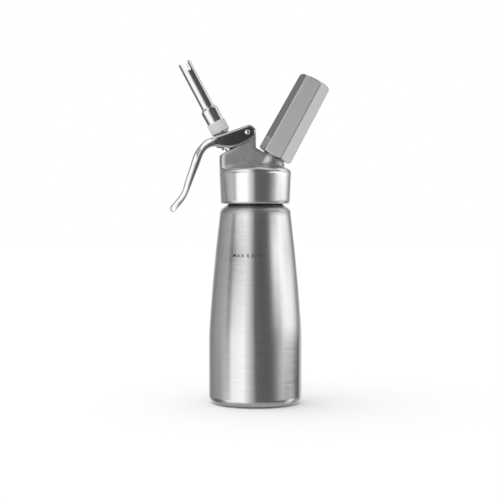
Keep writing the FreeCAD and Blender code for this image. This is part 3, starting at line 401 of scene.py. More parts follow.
# %% Brushed metal
STEM_LEAN = math.radians(27.9)
CHARGER_LEAN = math.radians(28.7)
AROUND = (420, 420, 6200)       # noise pulled out round the upright axis
ALONG = (4200, 4200, 60)        # noise pulled out along it
STREAK = 7.0                    # how much wider the broad streaks are than the hair lines
HAIR_DEPTH = 0.02 * MM
ROUND_LINES = 0.25              # a quarter turn, so light spreads up and down
UPRIGHT_LINES = 0.0             # light spreads sideways
EDGE_SAMPLES = 12
HOLDER_EDGE = 1.0 * MM


def soft_edges(tree, radius):
    """Normal that is rounded over the radius, in the way that polishing softens an edge."""
    return add(tree, "ShaderNodeBevel", {"Radius": radius}, samples=EDGE_SAMPLES).outputs["Normal"]


def spread_light(tree, shader, anisotropy, rotation):
    """Spreads the light across the lines of a finish, about the upright axis."""
    tangent = add(tree, "ShaderNodeTangent", direction_type="RADIAL", axis="Z")
    fill(tree, shader, {"Tangent": tangent.outputs["Tangent"], "Anisotropic": anisotropy,
                        "Anisotropic Rotation": rotation})


def streaks(tree, stretch, turn=(0, 0, 0)):
    """Lines like the hair lines of the same stretch, but broader."""
    return noise(tree, stretched(tree, [scale / STREAK for scale in stretch], turn))


def brushed(name, colour, smooth, rough, stretch, anisotropy=0.0, rotation=0.0,
            turn=(0, 0, 0), change=0.05, relief=0.06, broad=0.45, edge=None):
    """Metal with fine lines along one direction, given by how the noise is stretched."""
    material, tree, shader = new_material(name)
    hair = noise(tree, stretched(tree, stretch, turn))
    lines = blend(tree, broad, hair, streaks(tree, stretch, turn))
    surface(tree, shader, tint(tree, lines, colour, change), spread(tree, lines, smooth, rough),
            bump(tree, hair, relief, HAIR_DEPTH, edge and soft_edges(tree, edge)))
    if anisotropy:
        spread_light(tree, shader, anisotropy, rotation)
    return material


bottle_steel = brushed("bottle_steel", (0.72, 0.72, 0.73), 0.16, 0.22, AROUND, anisotropy=0.85,
                       rotation=ROUND_LINES, change=0.08, relief=0.08, broad=0.60)
holder_satin = brushed("holder_satin", (0.70, 0.70, 0.71), 0.27, 0.37, ALONG, anisotropy=0.2,
                       rotation=UPRIGHT_LINES, turn=(0, CHARGER_LEAN, 0), change=0.08, relief=0.1,
                       edge=HOLDER_EDGE)
turned_steel = brushed("turned_steel", (0.66, 0.66, 0.67), 0.14, 0.24, AROUND)
capsule_steel = brushed("capsule_steel", (0.55, 0.55, 0.57), 0.25, 0.36, ALONG,
                        turn=(0, CHARGER_LEAN, 0))
ring_steel = brushed("ring_steel", (0.60, 0.60, 0.61), 0.30, 0.42, AROUND)
print("brushed finishes made:", 5)

# %% [markdown]
# ## Duller places and painted shade
# The belt hardly reaches the round shoulder under the neck, so it is duller there, and its darker
# colour is painted shade under the head. The edge of the foot gets a painted contact shadow where
# it stands on the table, and the waist of the neck ring below the thread gets painted shade under
# the head's skirt. At each of these places a second, duller finish in a darker grey is mixed in by
# the height of the point. A second material on the same piece would leave a hard line instead.

# %% Duller places and painted shade by height
# the shoulder's darker colour is painted shade under the head; its higher roughness is a duller
# finish
DULL_AND_SHADED_SHOULDER = {"start": 156.5 * MM, "full": 162.0 * MM, "level": 0.60, "shine": 0.95,
                 "rough": 0.33}
# the darker colour at the foot's lowest edge is a painted contact shadow on the table
PAINTED_FOOT_SHADOW = {"start": 2.2 * MM, "full": 0.8 * MM, "level": 0.16, "shine": 0.70,
                  "rough": 0.45}
# the near black colour on the neck ring's waist is painted shade under the head's skirt
PAINTED_WAIST_SHADE = {"start": 170.5 * MM, "full": 169.5 * MM, "level": 0.05, "shine": 0.60,
                "rough": 0.50}


def height_share(tree, start, full):
    """Zero below the first height, one above the second, or the other way round."""
    return remap(tree, axes(tree, stretched(tree))[2], start, full, smooth=True)


def dull_with_painted_shade(material, start, full, level, shine, rough):
    """Mixes a duller finish in a darker grey, which is painted shade, into a metal between two
    heights.
    """
    tree, shader = tree_and_shader(material)
    share = height_share(tree, start, full)
    for name, value, kind in (("Base Color", grey(level), "RGBA"), ("Metallic", shine, "FLOAT"),
                              ("Roughness", rough, "FLOAT")):
        now = fed_by(shader.inputs[name])
        fill(tree, shader, {name: blend(tree, share, now, value, kind)})


dull_with_painted_shade(bottle_steel, **DULL_AND_SHADED_SHOULDER)
dull_with_painted_shade(bottle_steel, **PAINTED_FOOT_SHADOW)
dull_with_painted_shade(ring_steel, **PAINTED_WAIST_SHADE)
print("duller places:", 3)

# %% [markdown]
# ## Fine threads
# The adapter under the nozzle and the spigot for the charger holder carry fine threads that show
# only close up. A thread is a groove that climbs by one pitch in each turn, so height over pitch,
# less the angle over a full turn, gives its phase. A bump node turns that phase into ridges
# without any extra mesh, and limits of radius and height keep it on the thread.

# %% Thread as a bump
STEM_PLACE = (-20.97 * MM, 0, 211.9 * MM)
ADAPTER_THREAD = {"place": STEM_PLACE, "lean": -STEM_LEAN, "pitch": 2.0 * MM,
                  "radii": (5.9 * MM, 6.4 * MM), "heights": (17.2 * MM, 21.2 * MM),
                  "depth": 1.6 * MM}


def along(tree, place, lean):
    """A point's place about a leaning axis: x and y across it, and z up it."""
    return axes(tree, stretched(tree, turn=(0, lean, 0), place=place))


def within(tree, value, limits):
    """One where the value lies between the two limits, and zero elsewhere."""
    low, high = limits
    return math_node(tree, "MULTIPLY", math_node(tree, "GREATER_THAN", value, low),
                     math_node(tree, "LESS_THAN", value, high))


def radius_of(tree, x, y):
    """Distance from the axis."""
    return math_node(tree, "SQRT", math_node(
        tree, "ADD", math_node(tree, "MULTIPLY", x, x), math_node(tree, "MULTIPLY", y, y)))


def thread_phase(tree, x, y, z, pitch):
    """Turns of a right-handed thread up to a point: height over pitch, less its angle."""
    turns = math_node(tree, "DIVIDE", math_node(tree, "ARCTAN2", y, x), math.tau)
    return math_node(tree, "SUBTRACT", math_node(tree, "DIVIDE", z, pitch), turns)


def cut_thread(material, place, lean, pitch, radii, heights, depth):
    """Adds a thread about a leaning axis on top of the material's own relief."""
    tree, shader = tree_and_shader(material)
    x, y, z = along(tree, place, lean)
    ridge = math_node(tree, "PINGPONG", thread_phase(tree, x, y, z, pitch), 0.5)
    on_thread = math_node(tree, "MULTIPLY", within(tree, radius_of(tree, x, y), radii),
                          within(tree, z, heights))
    ridges = math_node(tree, "MULTIPLY", ridge, on_thread)
    fill(tree, shader, {"Normal": bump(tree, ridges, 1.0, depth, fed_by(shader.inputs["Normal"]))})


adapter_steel = brushed("adapter_steel", (0.66, 0.66, 0.67), 0.18, 0.28, AROUND)
cut_thread(adapter_steel, **ADAPTER_THREAD)
print("thread on the adapter, pitch in mm:", ADAPTER_THREAD["pitch"] / MM)

# %% [markdown]
# ## The head's two finishes
# The head is one casting with two finishes: its skirt is turned on a lathe and shines in upright
# bands, and the tower above the dome is satin, with fine upright lines and a cast surface that
# swells a little. Two materials would need a border in the mesh, so one material holds both and
# changes over by height. The edges of the casting are rounded by their normal.

# %% Head steel
SKIRT_TOP_Z = 195.5 * MM
TOWER_START_Z = 199.5 * MM
UPRIGHT = (3000, 3000, 90)
CLOUD = (90, 90, 90)
SKIRT = {"colour": (0.80, 0.80, 0.81), "change": 0.07, "rough": (0.13, 0.18), "broad": 0.25}
TOWER = {"colour": (0.65, 0.65, 0.66), "change": 0.09, "rough": (0.36, 0.46), "cloudy": 0.4}
CAST_SWELL = (0.25, 1.0 * MM)
HEAD_RELIEF = 0.08
HEAD_EDGE = 4.0 * MM
HEAD_ANISOTROPY = 0.5
SPIGOT_THREAD = {"place": (15.7 * MM, 0, 206.6 * MM), "lean": CHARGER_LEAN, "pitch": 1.5 * MM,
                 "radii": (9.7 * MM, 10.4 * MM), "heights": (1.2 * MM, 8.2 * MM),
                 "depth": 1.3 * MM}


def head_finish():
    """Turned steel on the skirt and satin on the tower, in one material."""
    material, tree, shader = new_material("head_steel")
    share = height_share(tree, SKIRT_TOP_Z, TOWER_START_Z)
    around = noise(tree, stretched(tree, AROUND))
    upright = noise(tree, stretched(tree, UPRIGHT))
    cloud = noise(tree, stretched(tree, CLOUD), detail=3.0)
    grain = blend(tree, share, blend(tree, SKIRT["broad"], around, streaks(tree, AROUND)),
                  blend(tree, TOWER["cloudy"], upright, cloud))
    rough = blend(tree, share, spread(tree, around, *SKIRT["rough"]),
                  spread(tree, upright, *TOWER["rough"]))
    colour = blend(tree, share, tint(tree, grain, SKIRT["colour"], SKIRT["change"]),
                   tint(tree, grain, TOWER["colour"], TOWER["change"]), "RGBA")
    soft = soft_edges(tree, HEAD_EDGE)
    casting = blend(tree, share, soft, bump(tree, cloud, *CAST_SWELL, soft), "VECTOR")
    surface(tree, shader, colour, rough, bump(tree, grain, HEAD_RELIEF, HAIR_DEPTH, casting))
    spread_light(tree, shader, HEAD_ANISOTROPY, ROUND_LINES)
    return material


head_steel = head_finish()
cut_thread(head_steel, **SPIGOT_THREAD)
print("thread on the spigot, pitch in mm:", SPIGOT_THREAD["pitch"] / MM)

# %% [markdown]
# ## Polished metal
# The lever, its pin and the nozzle are buffed to a mirror. Buffing never leaves a perfect plane,
# so the surface gets a very long, very shallow swell and a faint haze, which keep its reflections
# alive.

# %% Polished metal
SWELL = (60, 60, 60)
SWELL_RELIEF = (0.015, 1.0 * MM)
FINE_HAZE = (900, 900, 900)
HAZE_CHANGE = 0.02


def polished(name, colour, smooth, rough):
    """Mirror finish with a slow swell and a faint haze."""
    material, tree, shader = new_material(name)
    slow = noise(tree, stretched(tree, SWELL), detail=2.0)
    haze = noise(tree, stretched(tree, FINE_HAZE), detail=5.0)
    surface(tree, shader, tint(tree, haze, colour, HAZE_CHANGE), spread(tree, haze, smooth, rough),
            bump(tree, slow, *SWELL_RELIEF))
    return material


lever_polish = polished("lever_polish", (0.72, 0.72, 0.74), 0.05, 0.09)
pin_polish = polished("pin_polish", (0.90, 0.90, 0.91), 0.16, 0.22)
tip_steel = polished("tip_steel", (0.74, 0.74, 0.75), 0.05, 0.09)
brass = polished("brass", (0.75, 0.58, 0.30), 0.15, 0.28)
print("polished finishes made:", 4)

# %% [markdown]
# ## The pin's domed ends
# The ends of the hinge pin are peened, which leaves them a little domed. A mirror shows the
# smallest curve, so it is enough to turn the normal: the further a point lies from the pin's
# axis, the further its normal leans outward. The direction is worked out in the piece's own
# coordinates and then turned into the world's, because that is what a shader expects.

# %% Domed ends
PIN_PLACE = (-6.7 * MM, 0, 226.3 * MM)
PIN_RADIUS = 2.4 * MM
PIN_DOME = 0.55                 # how far the normal leans outward at the rim
END_FACING = 0.7                # faces that look sideways by more than this are the pin's ends


def own_normal(tree):
    """The parts of the surface normal in the piece's own coordinates."""
    return axes(tree, add(tree, "ShaderNodeTexCoord").outputs["Normal"])


def turn_normal(tree, shader, share, direction):
    """Turns the shader's normal, by a share, to a direction in the piece's own coordinates."""
    placed = add(tree, "ShaderNodeVectorTransform", {"Vector": direction}, vector_type="NORMAL",
                 convert_from="OBJECT", convert_to="WORLD")
    unit = add(tree, "ShaderNodeVectorMath", {0: placed.outputs["Vector"]}, operation="NORMALIZE")
    now = fed_by(shader.inputs["Normal"])
    fill(tree, shader, {"Normal": blend(tree, share, now, unit.outputs["Vector"], "VECTOR")})


def domed_ends(material, place, radius, lean):
    """Shades the flat ends of a pin as low domes."""
    tree, shader = tree_and_shader(material)
    x, _, z = axes(tree, stretched(tree, [lean / radius] * 3, place=place))
    facing = own_normal(tree)[1]
    on_end = math_node(tree, "GREATER_THAN", math_node(tree, "ABSOLUTE", facing), END_FACING)
    turn_normal(tree, shader, on_end, joined(tree, x, math_node(tree, "SIGN", facing), z))


domed_ends(pin_polish, PIN_PLACE, PIN_RADIUS, PIN_DOME)
print("pin's radius in mm:", round(PIN_RADIUS / MM, 2))

# %% [markdown]
# ## The rolled handle
# The handle of the lever is pressed from sheet whose edges are rolled over, so its sides lean
# outward at the back and turn square further in. The solid has flat sides with small fillets.
# Its normal is turned in the same way as on the pin: a smooth curve gives the place of the
# handle's back at each height, and the distance from it tells how far the side leans. The hand
# leaves the handle a little hazier than the cheeks beside the hinge.

# %% Rolled handle
CHEEK_END_X = -31 * MM
HANDLE_START_X = -38 * MM
# The handle's back: height and place in millimetres, and the cosine of its lean from upright.
HANDLE_BACK = [
    (161.9, -70.7, 0.80), (166.3, -69.1, 0.77), (172.1, -64.3, 0.80), (177.1, -61.2, 0.90),
    (184.0, -59.0, 0.95), (198.0, -54.4, 0.95), (207.3, -51.4, 0.90), (212.4, -48.5, 0.80),
    (216.2, -45.2, 0.68), (220.2, -39.3, 0.50), (226.3, -24.0, 0.38),
]
ROLL_START = -0.62              # how far the side leans outward at the handle's back
ROLL_END = 0.12                 # how far it leans inward past the depth below
ROLL_DEPTH = 5.21 * MM
SIDE_FROM = 0.55                # how squarely a face looks sideways
SIDE_FULL = 0.80
SIDE_BIAS = 0.4                 # faces that also look inward count as more sideways
HAND_HAZE = (500, 500, 500)


def curve_over(tree, value, points):
    """A smooth curve through (value, result) points, from the lowest value to the highest."""
    low, high = points[0][0], points[-1][0]
    results = [result for _, result in points]
    least, most = min(results), max(results)
    curve = add(tree, "ShaderNodeFloatCurve", {"Value": remap(tree, value, low, high)})
    line = curve.mapping.curves[0]
    for index, (place, result) in enumerate(points):
        spot = ((place - low) / (high - low), (result - least) / (most - least))
        if 0 < index < len(points) - 1:
            line.points.new(*spot)
        else:
            line.points[0 if index == 0 else -1].location = spot
    curve.mapping.update()
    return math_node(tree, "MULTIPLY_ADD", curve.outputs["Value"], most - least, least)


def rolled_handle(material, smooth, rough):
    """Haze on the part of the lever that the hand holds, and sides that look rolled over."""
    tree, shader = tree_and_shader(material)
    x, _, z = axes(tree, stretched(tree))
    on_handle = remap(tree, x, CHEEK_END_X, HANDLE_START_X, smooth=True)
    haze = spread(tree, noise(tree, stretched(tree, HAND_HAZE)), smooth, rough)
    clear = fed_by(shader.inputs["Roughness"])
    fill(tree, shader, {"Roughness": blend(tree, on_handle, clear, haze)})
    back = curve_over(tree, z, [(height * MM, place * MM) for height, place, _ in HANDLE_BACK])
    slope = curve_over(tree, z, [(height * MM, slope) for height, _, slope in HANDLE_BACK])
    depth = math_node(tree, "MULTIPLY", math_node(tree, "SUBTRACT", x, back), slope)
    lean = remap(tree, depth, 0.0, ROLL_DEPTH, ROLL_START, ROLL_END)
    inward, sideways, _ = own_normal(tree)
    squarely = math_node(tree, "MULTIPLY_ADD", inward, SIDE_BIAS,
                         math_node(tree, "ABSOLUTE", sideways))
    on_side = remap(tree, squarely, SIDE_FROM, SIDE_FULL, smooth=True)
    turn_normal(tree, shader, math_node(tree, "MULTIPLY", on_handle, on_side),
                joined(tree, lean, math_node(tree, "SIGN", sideways)))


rolled_handle(lever_polish, 0.10, 0.15)
print("points along the handle's back:", len(HANDLE_BACK))

# %% [markdown]
# ## The drawn bell of the nozzle
# The nozzle is drawn from tube and widens into a bell in one long curve. The solid has a short
# step there, which would show as a bright ring. Between two heights on the stem's axis, and only
# outside the bore, the normal is turned part of the way to straight outward, so that the step
# reads as a slow curve.

# %% Drawn bell
BELL_HEIGHTS = (34.0 * MM, 44.0 * MM)
BELL_BORE = 5.2 * MM
BELL_AMOUNT = 0.6


def drawn_bell(material, heights, bore, amount):
    """Shades the step where the nozzle widens as one long drawn curve."""
    tree, shader = tree_and_shader(material)
    x, y, z = along(tree, STEM_PLACE, -STEM_LEAN)
    leaned = add(tree, "ShaderNodeMapping", {"Vector": joined(tree, x, y),
                                             "Rotation": (0, -STEM_LEAN, 0)}, vector_type="VECTOR")
    outside = math_node(tree, "GREATER_THAN", radius_of(tree, x, y), bore)
    on_bell = math_node(tree, "MULTIPLY", within(tree, z, heights), outside)
    turn_normal(tree, shader, math_node(tree, "MULTIPLY", on_bell, amount),
                leaned.outputs["Vector"])


drawn_bell(tip_steel, BELL_HEIGHTS, BELL_BORE, BELL_AMOUNT)
print("bell in mm up the stem:", [round(height / MM, 1) for height in BELL_HEIGHTS])

# %% [markdown]
# ## Plastic, rubber and ink
# The collar is moulded in white plastic, the seals are black rubber and the gasket is pale
# silicone. None of them is a flat colour: moulding and handling leave a fine grain, so each gets
# a small change of colour and roughness and a shallow relief.

# %% Plastic, rubber and ink
GRAIN_CHANGE = 0.03
GRAIN_DEPTH = 0.05 * MM


def moulded(name, colour, smooth, rough, grain=1500.0, relief=0.08):
    """Moulded plastic or rubber with a fine grain."""
    material, tree, shader = new_material(name)
    fine = noise(tree, stretched(tree, (grain, grain, grain)), detail=3.0)
    surface(tree, shader, tint(tree, fine, colour, GRAIN_CHANGE),
            spread(tree, fine, smooth, rough), bump(tree, fine, relief, GRAIN_DEPTH), metallic=0.0)
    return material


collar_white = moulded("collar_white", (0.78, 0.78, 0.77), 0.34, 0.42, grain=400.0, relief=0.03)
seal_rubber = moulded("seal_rubber", (0.03, 0.03, 0.03), 0.55, 0.75)
gasket_silicone = moulded("gasket_silicone", (0.62, 0.62, 0.60), 0.45, 0.6)
mark_ink = moulded("mark_ink", (0.035, 0.033, 0.033), 0.5, 0.65)
print("moulded finishes made:", 4)

# %% [markdown]
# ## Painted shade in the collar's grooves
# The collar's five grooves are real ones in the solid. The bottom of each is darkened by painted
# shade. The darker colour is multiplied in by the height along the stem's axis: the distance from
# the middle of a groove, in steps of one pitch, gives a wave that is highest in the grooves.

# %% Painted shade in the grooves
GROOVE_START = 17.4 * MM
GROOVE_PITCH = 1.64 * MM
# grey of the painted shade at the bottom of each groove
GROOVE_SHADE_LEVEL = 0.62


def paint_groove_shade(material, start, pitch, painted_shade):
    """Paints shade into the bottoms of grooves that run round the valve stem's axis."""
    tree, shader = tree_and_shader(material)
    z = along(tree, STEM_PLACE, -STEM_LEAN)[2]
    rings = math_node(tree, "DIVIDE", math_node(tree, "SUBTRACT", z, start), pitch)
    depth = math_node(tree, "MULTIPLY", math_node(tree, "PINGPONG", rings, 0.5), 2.0)
    white = fed_by(shader.inputs["Base Color"])
    shaded = blend(tree, math_node(tree, "POWER", depth, 2.0), white, grey(painted_shade), "RGBA")
    shaded.node.blend_type = "MULTIPLY"
    fill(tree, shader, {"Base Color": shaded})


paint_groove_shade(collar_white, GROOVE_START, GROOVE_PITCH, GROOVE_SHADE_LEVEL)
print("pitch of the grooves in mm:", round(GROOVE_PITCH / MM, 2))

# %% [markdown]
# ## Dressing the solids
# Most solids already have their final shape, so they stay and only get a finish in their
# material slot. Their meshes aren't touched. The bottle and its neck ring aren't in this list,
# because the next steps turn them anew with a thread and a smoother skin.

# %% Dress the solids
FINISH = {
    "head_gasket": gasket_silicone,
    "head": head_steel,
    "lever": lever_polish,
    "lever_pin": pin_polish,
    "guide_bush": brass,
    "valve_stem": turned_steel,
    "stem_o_ring": seal_rubber,
    "valve_spring": turned_steel,
    "valve_seal": seal_rubber,
    "valve_nut": turned_steel,
    "tip_adapter": adapter_steel,
    "tip_o_ring": seal_rubber,
    "nozzle_tip": tip_steel,
    "nozzle_collar": collar_white,
    "charger": capsule_steel,
    "charger_holder": holder_satin,
    "piercing_pin": turned_steel,
    "nipple_seal": seal_rubber,
    "check_valve_plug": brass,
    "check_valve_sleeve": seal_rubber,
}

for node, material in FINISH.items():
    slots = nodes[node].data.materials
    slots.clear()
    slots.append(material)
print("solids dressed:", len(FINISH))

# %% [markdown]
# ## The lathe
# The bottle is spun and the ring round its neck is turned, so both are an outline carried once
# round the upright axis. A Geometry Nodes group does that: the outline is a curve, and Curve to
# Mesh carries it round a circle. It would hang the outline upside down, so the outline is
# mirrored first and the faces are flipped after. The points that lie on the axis are merged, so
# that the foot is closed, and edges sharper than a limit stay crisp while the rest is smooth.

# %% Lathe as a node group
LATHE_TURN_RADIUS = 1.0      # of the circle that the outline is carried round
AXIS_MERGE = 0.001 * MM
CRISP_ANGLE = math.radians(28)


def geometry_group(name, inputs):
    """Node group that takes a shape and the named inputs, and gives a shape back."""
    tree = bpy.data.node_groups.new(name, "GeometryNodeTree")
    tree.interface.new_socket("Geometry", in_out="INPUT", socket_type="NodeSocketGeometry")
    for label, kind in inputs:
        tree.interface.new_socket(label, in_out="INPUT", socket_type=kind)
    tree.interface.new_socket("Geometry", in_out="OUTPUT", socket_type="NodeSocketGeometry")
    return tree, tree.nodes.new("NodeGroupInput"), tree.nodes.new("NodeGroupOutput")


def finish_group(tree, shape, entry, exit_node):
    """Ends a group: crisp edges, real geometry and the piece's own material."""
    angle = add(tree, "GeometryNodeInputMeshEdgeAngle").outputs["Unsigned Angle"]
    smooth = add(tree, "GeometryNodeSetShadeSmooth", {"Geometry": shape})
    crisp = add(tree, "GeometryNodeSetShadeSmooth", {
        "Geometry": smooth.outputs["Geometry"], "Shade Smooth": False,
        "Selection": math_node(tree, "GREATER_THAN", angle, CRISP_ANGLE)}, domain="EDGE")
    realize = add(tree, "GeometryNodeRealizeInstances", {"Geometry": crisp.outputs["Geometry"]})
    finish = add(tree, "GeometryNodeSetMaterial", {
        "Geometry": realize.outputs["Geometry"], "Material": entry.outputs["Material"]})
    fill(tree, exit_node, {"Geometry": finish.outputs["Geometry"]})


def turned_round(tree, outline, segments):
    """Nodes that carry an outline round the upright axis and close it at the axis."""
    shift = add(tree, "GeometryNodeTransform", {
        "Geometry": outline, "Translation": (-LATHE_TURN_RADIUS, 0, 0), "Scale": (1, -1, 1)})
    circle = add(tree, "GeometryNodeCurvePrimitiveCircle", {
        "Resolution": segments, "Radius": LATHE_TURN_RADIUS})
    carry = add(tree, "GeometryNodeCurveToMesh", {
        "Curve": circle.outputs["Curve"], "Profile Curve": shift.outputs["Geometry"]})
    outward = add(tree, "GeometryNodeFlipFaces", {"Mesh": carry.outputs["Mesh"]})
    merge = add(tree, "GeometryNodeMergeByDistance", {
        "Geometry": outward.outputs["Mesh"], "Distance": AXIS_MERGE})
    return merge.outputs["Geometry"]


def make_lathe():
    """The lathe: an outline, the number of segments and a material."""
    tree, entry, exit_node = geometry_group(
        "lathe", [("Segments", "NodeSocketInt"), ("Material", "NodeSocketMaterial")])
    body = turned_round(tree, entry.outputs["Geometry"], entry.outputs["Segments"])
    finish_group(tree, body, entry, exit_node)
    return tree


lathe = make_lathe()
print("nodes in the lathe:", len(lathe.nodes))

# %% [markdown]
# ## Outlines
# An outline is a list of points, each a radius and a height in millimetres. Straight runs need
# only their ends, and a curve is given as three points of an arc, which is then divided into
# short steps of equal angle. The list becomes a curve object, the node group runs over it as a
# modifier, and the result is kept as a plain mesh.

# %% Outlines and turned pieces
ARC_STEP = math.radians(4)
FEWEST_STEPS = 3


def through(start, middle, end):
    """Points along the arc through three points, without its first."""
    (ax, ay), (bx, by), (cx, cy) = start, middle, end
    cross = 2 * (ax * (by - cy) + bx * (cy - ay) + cx * (ay - by))
    a, b, c = (x * x + y * y for x, y in (start, middle, end))
    ox = (a * (by - cy) + b * (cy - ay) + c * (ay - by)) / cross
    oy = (a * (cx - bx) + b * (ax - cx) + c * (bx - ax)) / cross
    radius = math.hypot(ax - ox, ay - oy)
    first = math.atan2(ay - oy, ax - ox)
    sweep = [(math.atan2(y - oy, x - ox) - first) % math.tau for x, y in (middle, end)]
    turn = sweep[1] if sweep[0] < sweep[1] else sweep[1] - math.tau
    steps = max(FEWEST_STEPS, math.ceil(abs(turn) / ARC_STEP))
    return [(ox + radius * math.cos(first + turn * k / steps),
             oy + radius * math.sin(first + turn * k / steps)) for k in range(1, steps + 1)]


def outline_object(name, points, closed):
    """Curve object with straight runs between (radius, height) points in millimetres."""
    curve = bpy.data.curves.new(name, "CURVE")
    curve.dimensions = "3D"
    spline = curve.splines.new("POLY")
    spline.points.add(len(points) - 1)
    for point, (radius, height) in zip(spline.points, points):
        point.co = (radius * MM, height * MM, 0, 1)
    spline.use_cyclic_u = closed
    return in_scene(name, curve)


def run_group(name, outline, tree, values):
    """Runs a node group over an outline and keeps the result as a plain mesh object."""
    modifier = outline.modifiers.new(tree.name, "NODES")
    modifier.node_group = tree
    for item in tree.interface.items_tree:
        if item.in_out == "INPUT" and item.name in values:
            modifier[item.identifier] = values[item.name]
    evaluated = outline.evaluated_get(bpy.context.evaluated_depsgraph_get())
    mesh = bpy.data.meshes.new_from_object(evaluated)
    bpy.data.objects.remove(outline)
    mesh.name = name
    return in_scene(name, mesh)


print("degrees in one step of an arc:", round(math.degrees(ARC_STEP), 2))

# %% [markdown]
# ## The bottle
# The bottle has a rounded foot, a straight wall, a long taper and a round shoulder under the
# neck. Its wall is thin sheet, so the inside is the same line a wall's thickness further in. The
# outline therefore goes up the outside, over the mouth and back down the inside to the axis.

# %% Bottle
BOTTLE_R = 38.9
BOTTLE_WALL = 1.2
FOOT_ROUND = 7.0
BASE_WALL = 1.6
MOUTH_Z = 187.0
NECK_R = 21.6
RING_WAIST_R = 22.4
NECK_FOOT_Z = 166.9
SIDE = [(BOTTLE_R, 50.0), (38.75, 59.0), (38.3, 68.0)]
TAPER = [SIDE[-1], (34.65, 113.2), (29.7, 158.4)]
SHOULDER = [TAPER[-1], (28.8, 162.0), (26.0, 164.3)]
SEGMENTS = 190


def foot_arc(radius, height):
    """Quarter round from the flat foot up to the wall, on the outside or the inside."""
    centre = BOTTLE_R - FOOT_ROUND
    half = radius * math.sqrt(0.5)
    return [(centre, height), (centre + half, height + radius - half),
            (centre + radius, height + radius)]


def bottle_outline():
    """Outline from the middle of the foot, up, over the mouth and down to the middle again."""
    foot = foot_arc(FOOT_ROUND, 0.0)
    outside = [(0.0, 0.0), foot[0], *through(*foot), SIDE[0],
               *through(*SIDE), *through(*TAPER), *through(*SHOULDER),
               (RING_WAIST_R, NECK_FOOT_Z), (NECK_R, NECK_FOOT_Z)]
    wall = [[(r - BOTTLE_WALL, z) for r, z in arc] for arc in (SIDE, TAPER)]
    inner_middle = (SHOULDER[1][0] - BOTTLE_WALL, SHOULDER[1][1] - BOTTLE_WALL)
    inner_shoulder = (SHOULDER[-1][0] - BOTTLE_WALL / 2, SHOULDER[-1][1] - BOTTLE_WALL)
    inner_foot = foot_arc(FOOT_ROUND - BOTTLE_WALL, BASE_WALL)
    inside = [(NECK_R - BOTTLE_WALL, SHOULDER[-1][1]), inner_shoulder,
              *through(inner_shoulder, inner_middle, wall[1][-1]),
              *through(*wall[1][::-1]), *through(*wall[0][::-1]), inner_foot[-1],
              *through(*inner_foot[::-1]), (0.0, BASE_WALL)]
    return outside + [(NECK_R, MOUTH_Z), (NECK_R - BOTTLE_WALL, MOUTH_Z)] + inside


bottle = run_group("spun_bottle", outline_object("bottle_outline", bottle_outline(), False),
                   lathe, {"Segments": SEGMENTS, "Material": bottle_steel})
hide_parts("bottle")
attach(bottle, "bottle_body")
print("faces in the bottle:", len(bottle.data.polygons))

# %% [markdown]
# ## The threaded neck ring
# The head screws onto a ring that is brazed round the neck. Its thread could be a bump, but it
# shows when the head is off, so it is real relief. The ring is turned on the same lathe from an
# outline with many short steps, and Set Position then pulls each point in by a wave along the
# helix: one pitch up for each turn. The wave fades out at both ends, as a cut thread runs out.

# %% Thread as a node group
CREST_MARGIN = 0.05 * MM        # points that far inside the crest don't belong to the thread
RUN_OUT = 0.5                   # the share of a turn over which the thread fades out


def make_threaded_lathe():
    """The lathe with a thread cut into its outside."""
    tree, entry, exit_node = geometry_group("threaded_lathe", [
        ("Segments", "NodeSocketInt"), ("Pitch", "NodeSocketFloat"), ("Depth", "NodeSocketFloat"),
        ("Crest Radius", "NodeSocketFloat"), ("Foot", "NodeSocketFloat"),
        ("Top", "NodeSocketFloat"), ("Material", "NodeSocketMaterial")])
    given = entry.outputs
    body = turned_round(tree, given["Geometry"], given["Segments"])
    x, y, z = axes(tree, add(tree, "GeometryNodeInputPosition").outputs["Position"])
    radius = radius_of(tree, x, y)
    phase = thread_phase(tree, x, y, z, given["Pitch"])
    wave = math_node(tree, "COSINE", math_node(tree, "MULTIPLY", phase, math.tau))
    groove = math_node(tree, "MULTIPLY_ADD", wave, -0.5, 0.5)
    ends = [math_node(tree, "DIVIDE", math_node(tree, "SUBTRACT", upper, lower), given["Pitch"])
            for upper, lower in ((z, given["Foot"]), (given["Top"], z))]
    fade = remap(tree, math_node(tree, "MINIMUM", *ends), 0.0, RUN_OUT)
    side = math_node(tree, "SUBTRACT", given["Crest Radius"], CREST_MARGIN)
    outside = math_node(tree, "GREATER_THAN", radius, side)
    cut = math_node(tree, "MULTIPLY", math_node(tree, "MULTIPLY", groove, given["Depth"]),
                    math_node(tree, "MULTIPLY", fade, outside))
    pull = math_node(tree, "DIVIDE", cut, math_node(tree, "MULTIPLY", radius, -1.0))
    inward = joined(tree, math_node(tree, "MULTIPLY", x, pull),
                    math_node(tree, "MULTIPLY", y, pull))
    move = add(tree, "GeometryNodeSetPosition", {"Geometry": body, "Offset": inward})
    finish_group(tree, move.outputs["Geometry"], entry, exit_node)
    return tree


threaded_lathe = make_threaded_lathe()
print("nodes in the threaded lathe:", len(threaded_lathe.nodes))

# %% Neck ring
RING_BORE = 21.61
RING_FOOT_Z = NECK_FOOT_Z + 0.05
THREAD_CREST_R = 24.6
THREAD_FOOT_Z = 170.6
THREAD_DEPTH = 1.1
THREAD_PITCH = 4.0
THREAD_STEP = 0.3
THREAD_FOOT_GAP = 0.4
THREAD_TOP_GAP = 0.2
MOUTH_EDGE = 1.2


def ring_outline():
    """Waist, slope, a stepped side for the thread, chamfered mouth and bore."""
    side_top = MOUTH_Z - MOUTH_EDGE
    steps = round((side_top - THREAD_FOOT_Z) / THREAD_STEP)
    side = [(THREAD_CREST_R, THREAD_FOOT_Z + (side_top - THREAD_FOOT_Z) * k / steps)
            for k in range(steps + 1)]
    slope = THREAD_CREST_R - RING_WAIST_R
    return [(RING_BORE, RING_FOOT_Z), (RING_WAIST_R, RING_FOOT_Z),
            (RING_WAIST_R, THREAD_FOOT_Z - slope), *side,
            (THREAD_CREST_R - MOUTH_EDGE, MOUTH_Z), (RING_BORE, MOUTH_Z)]


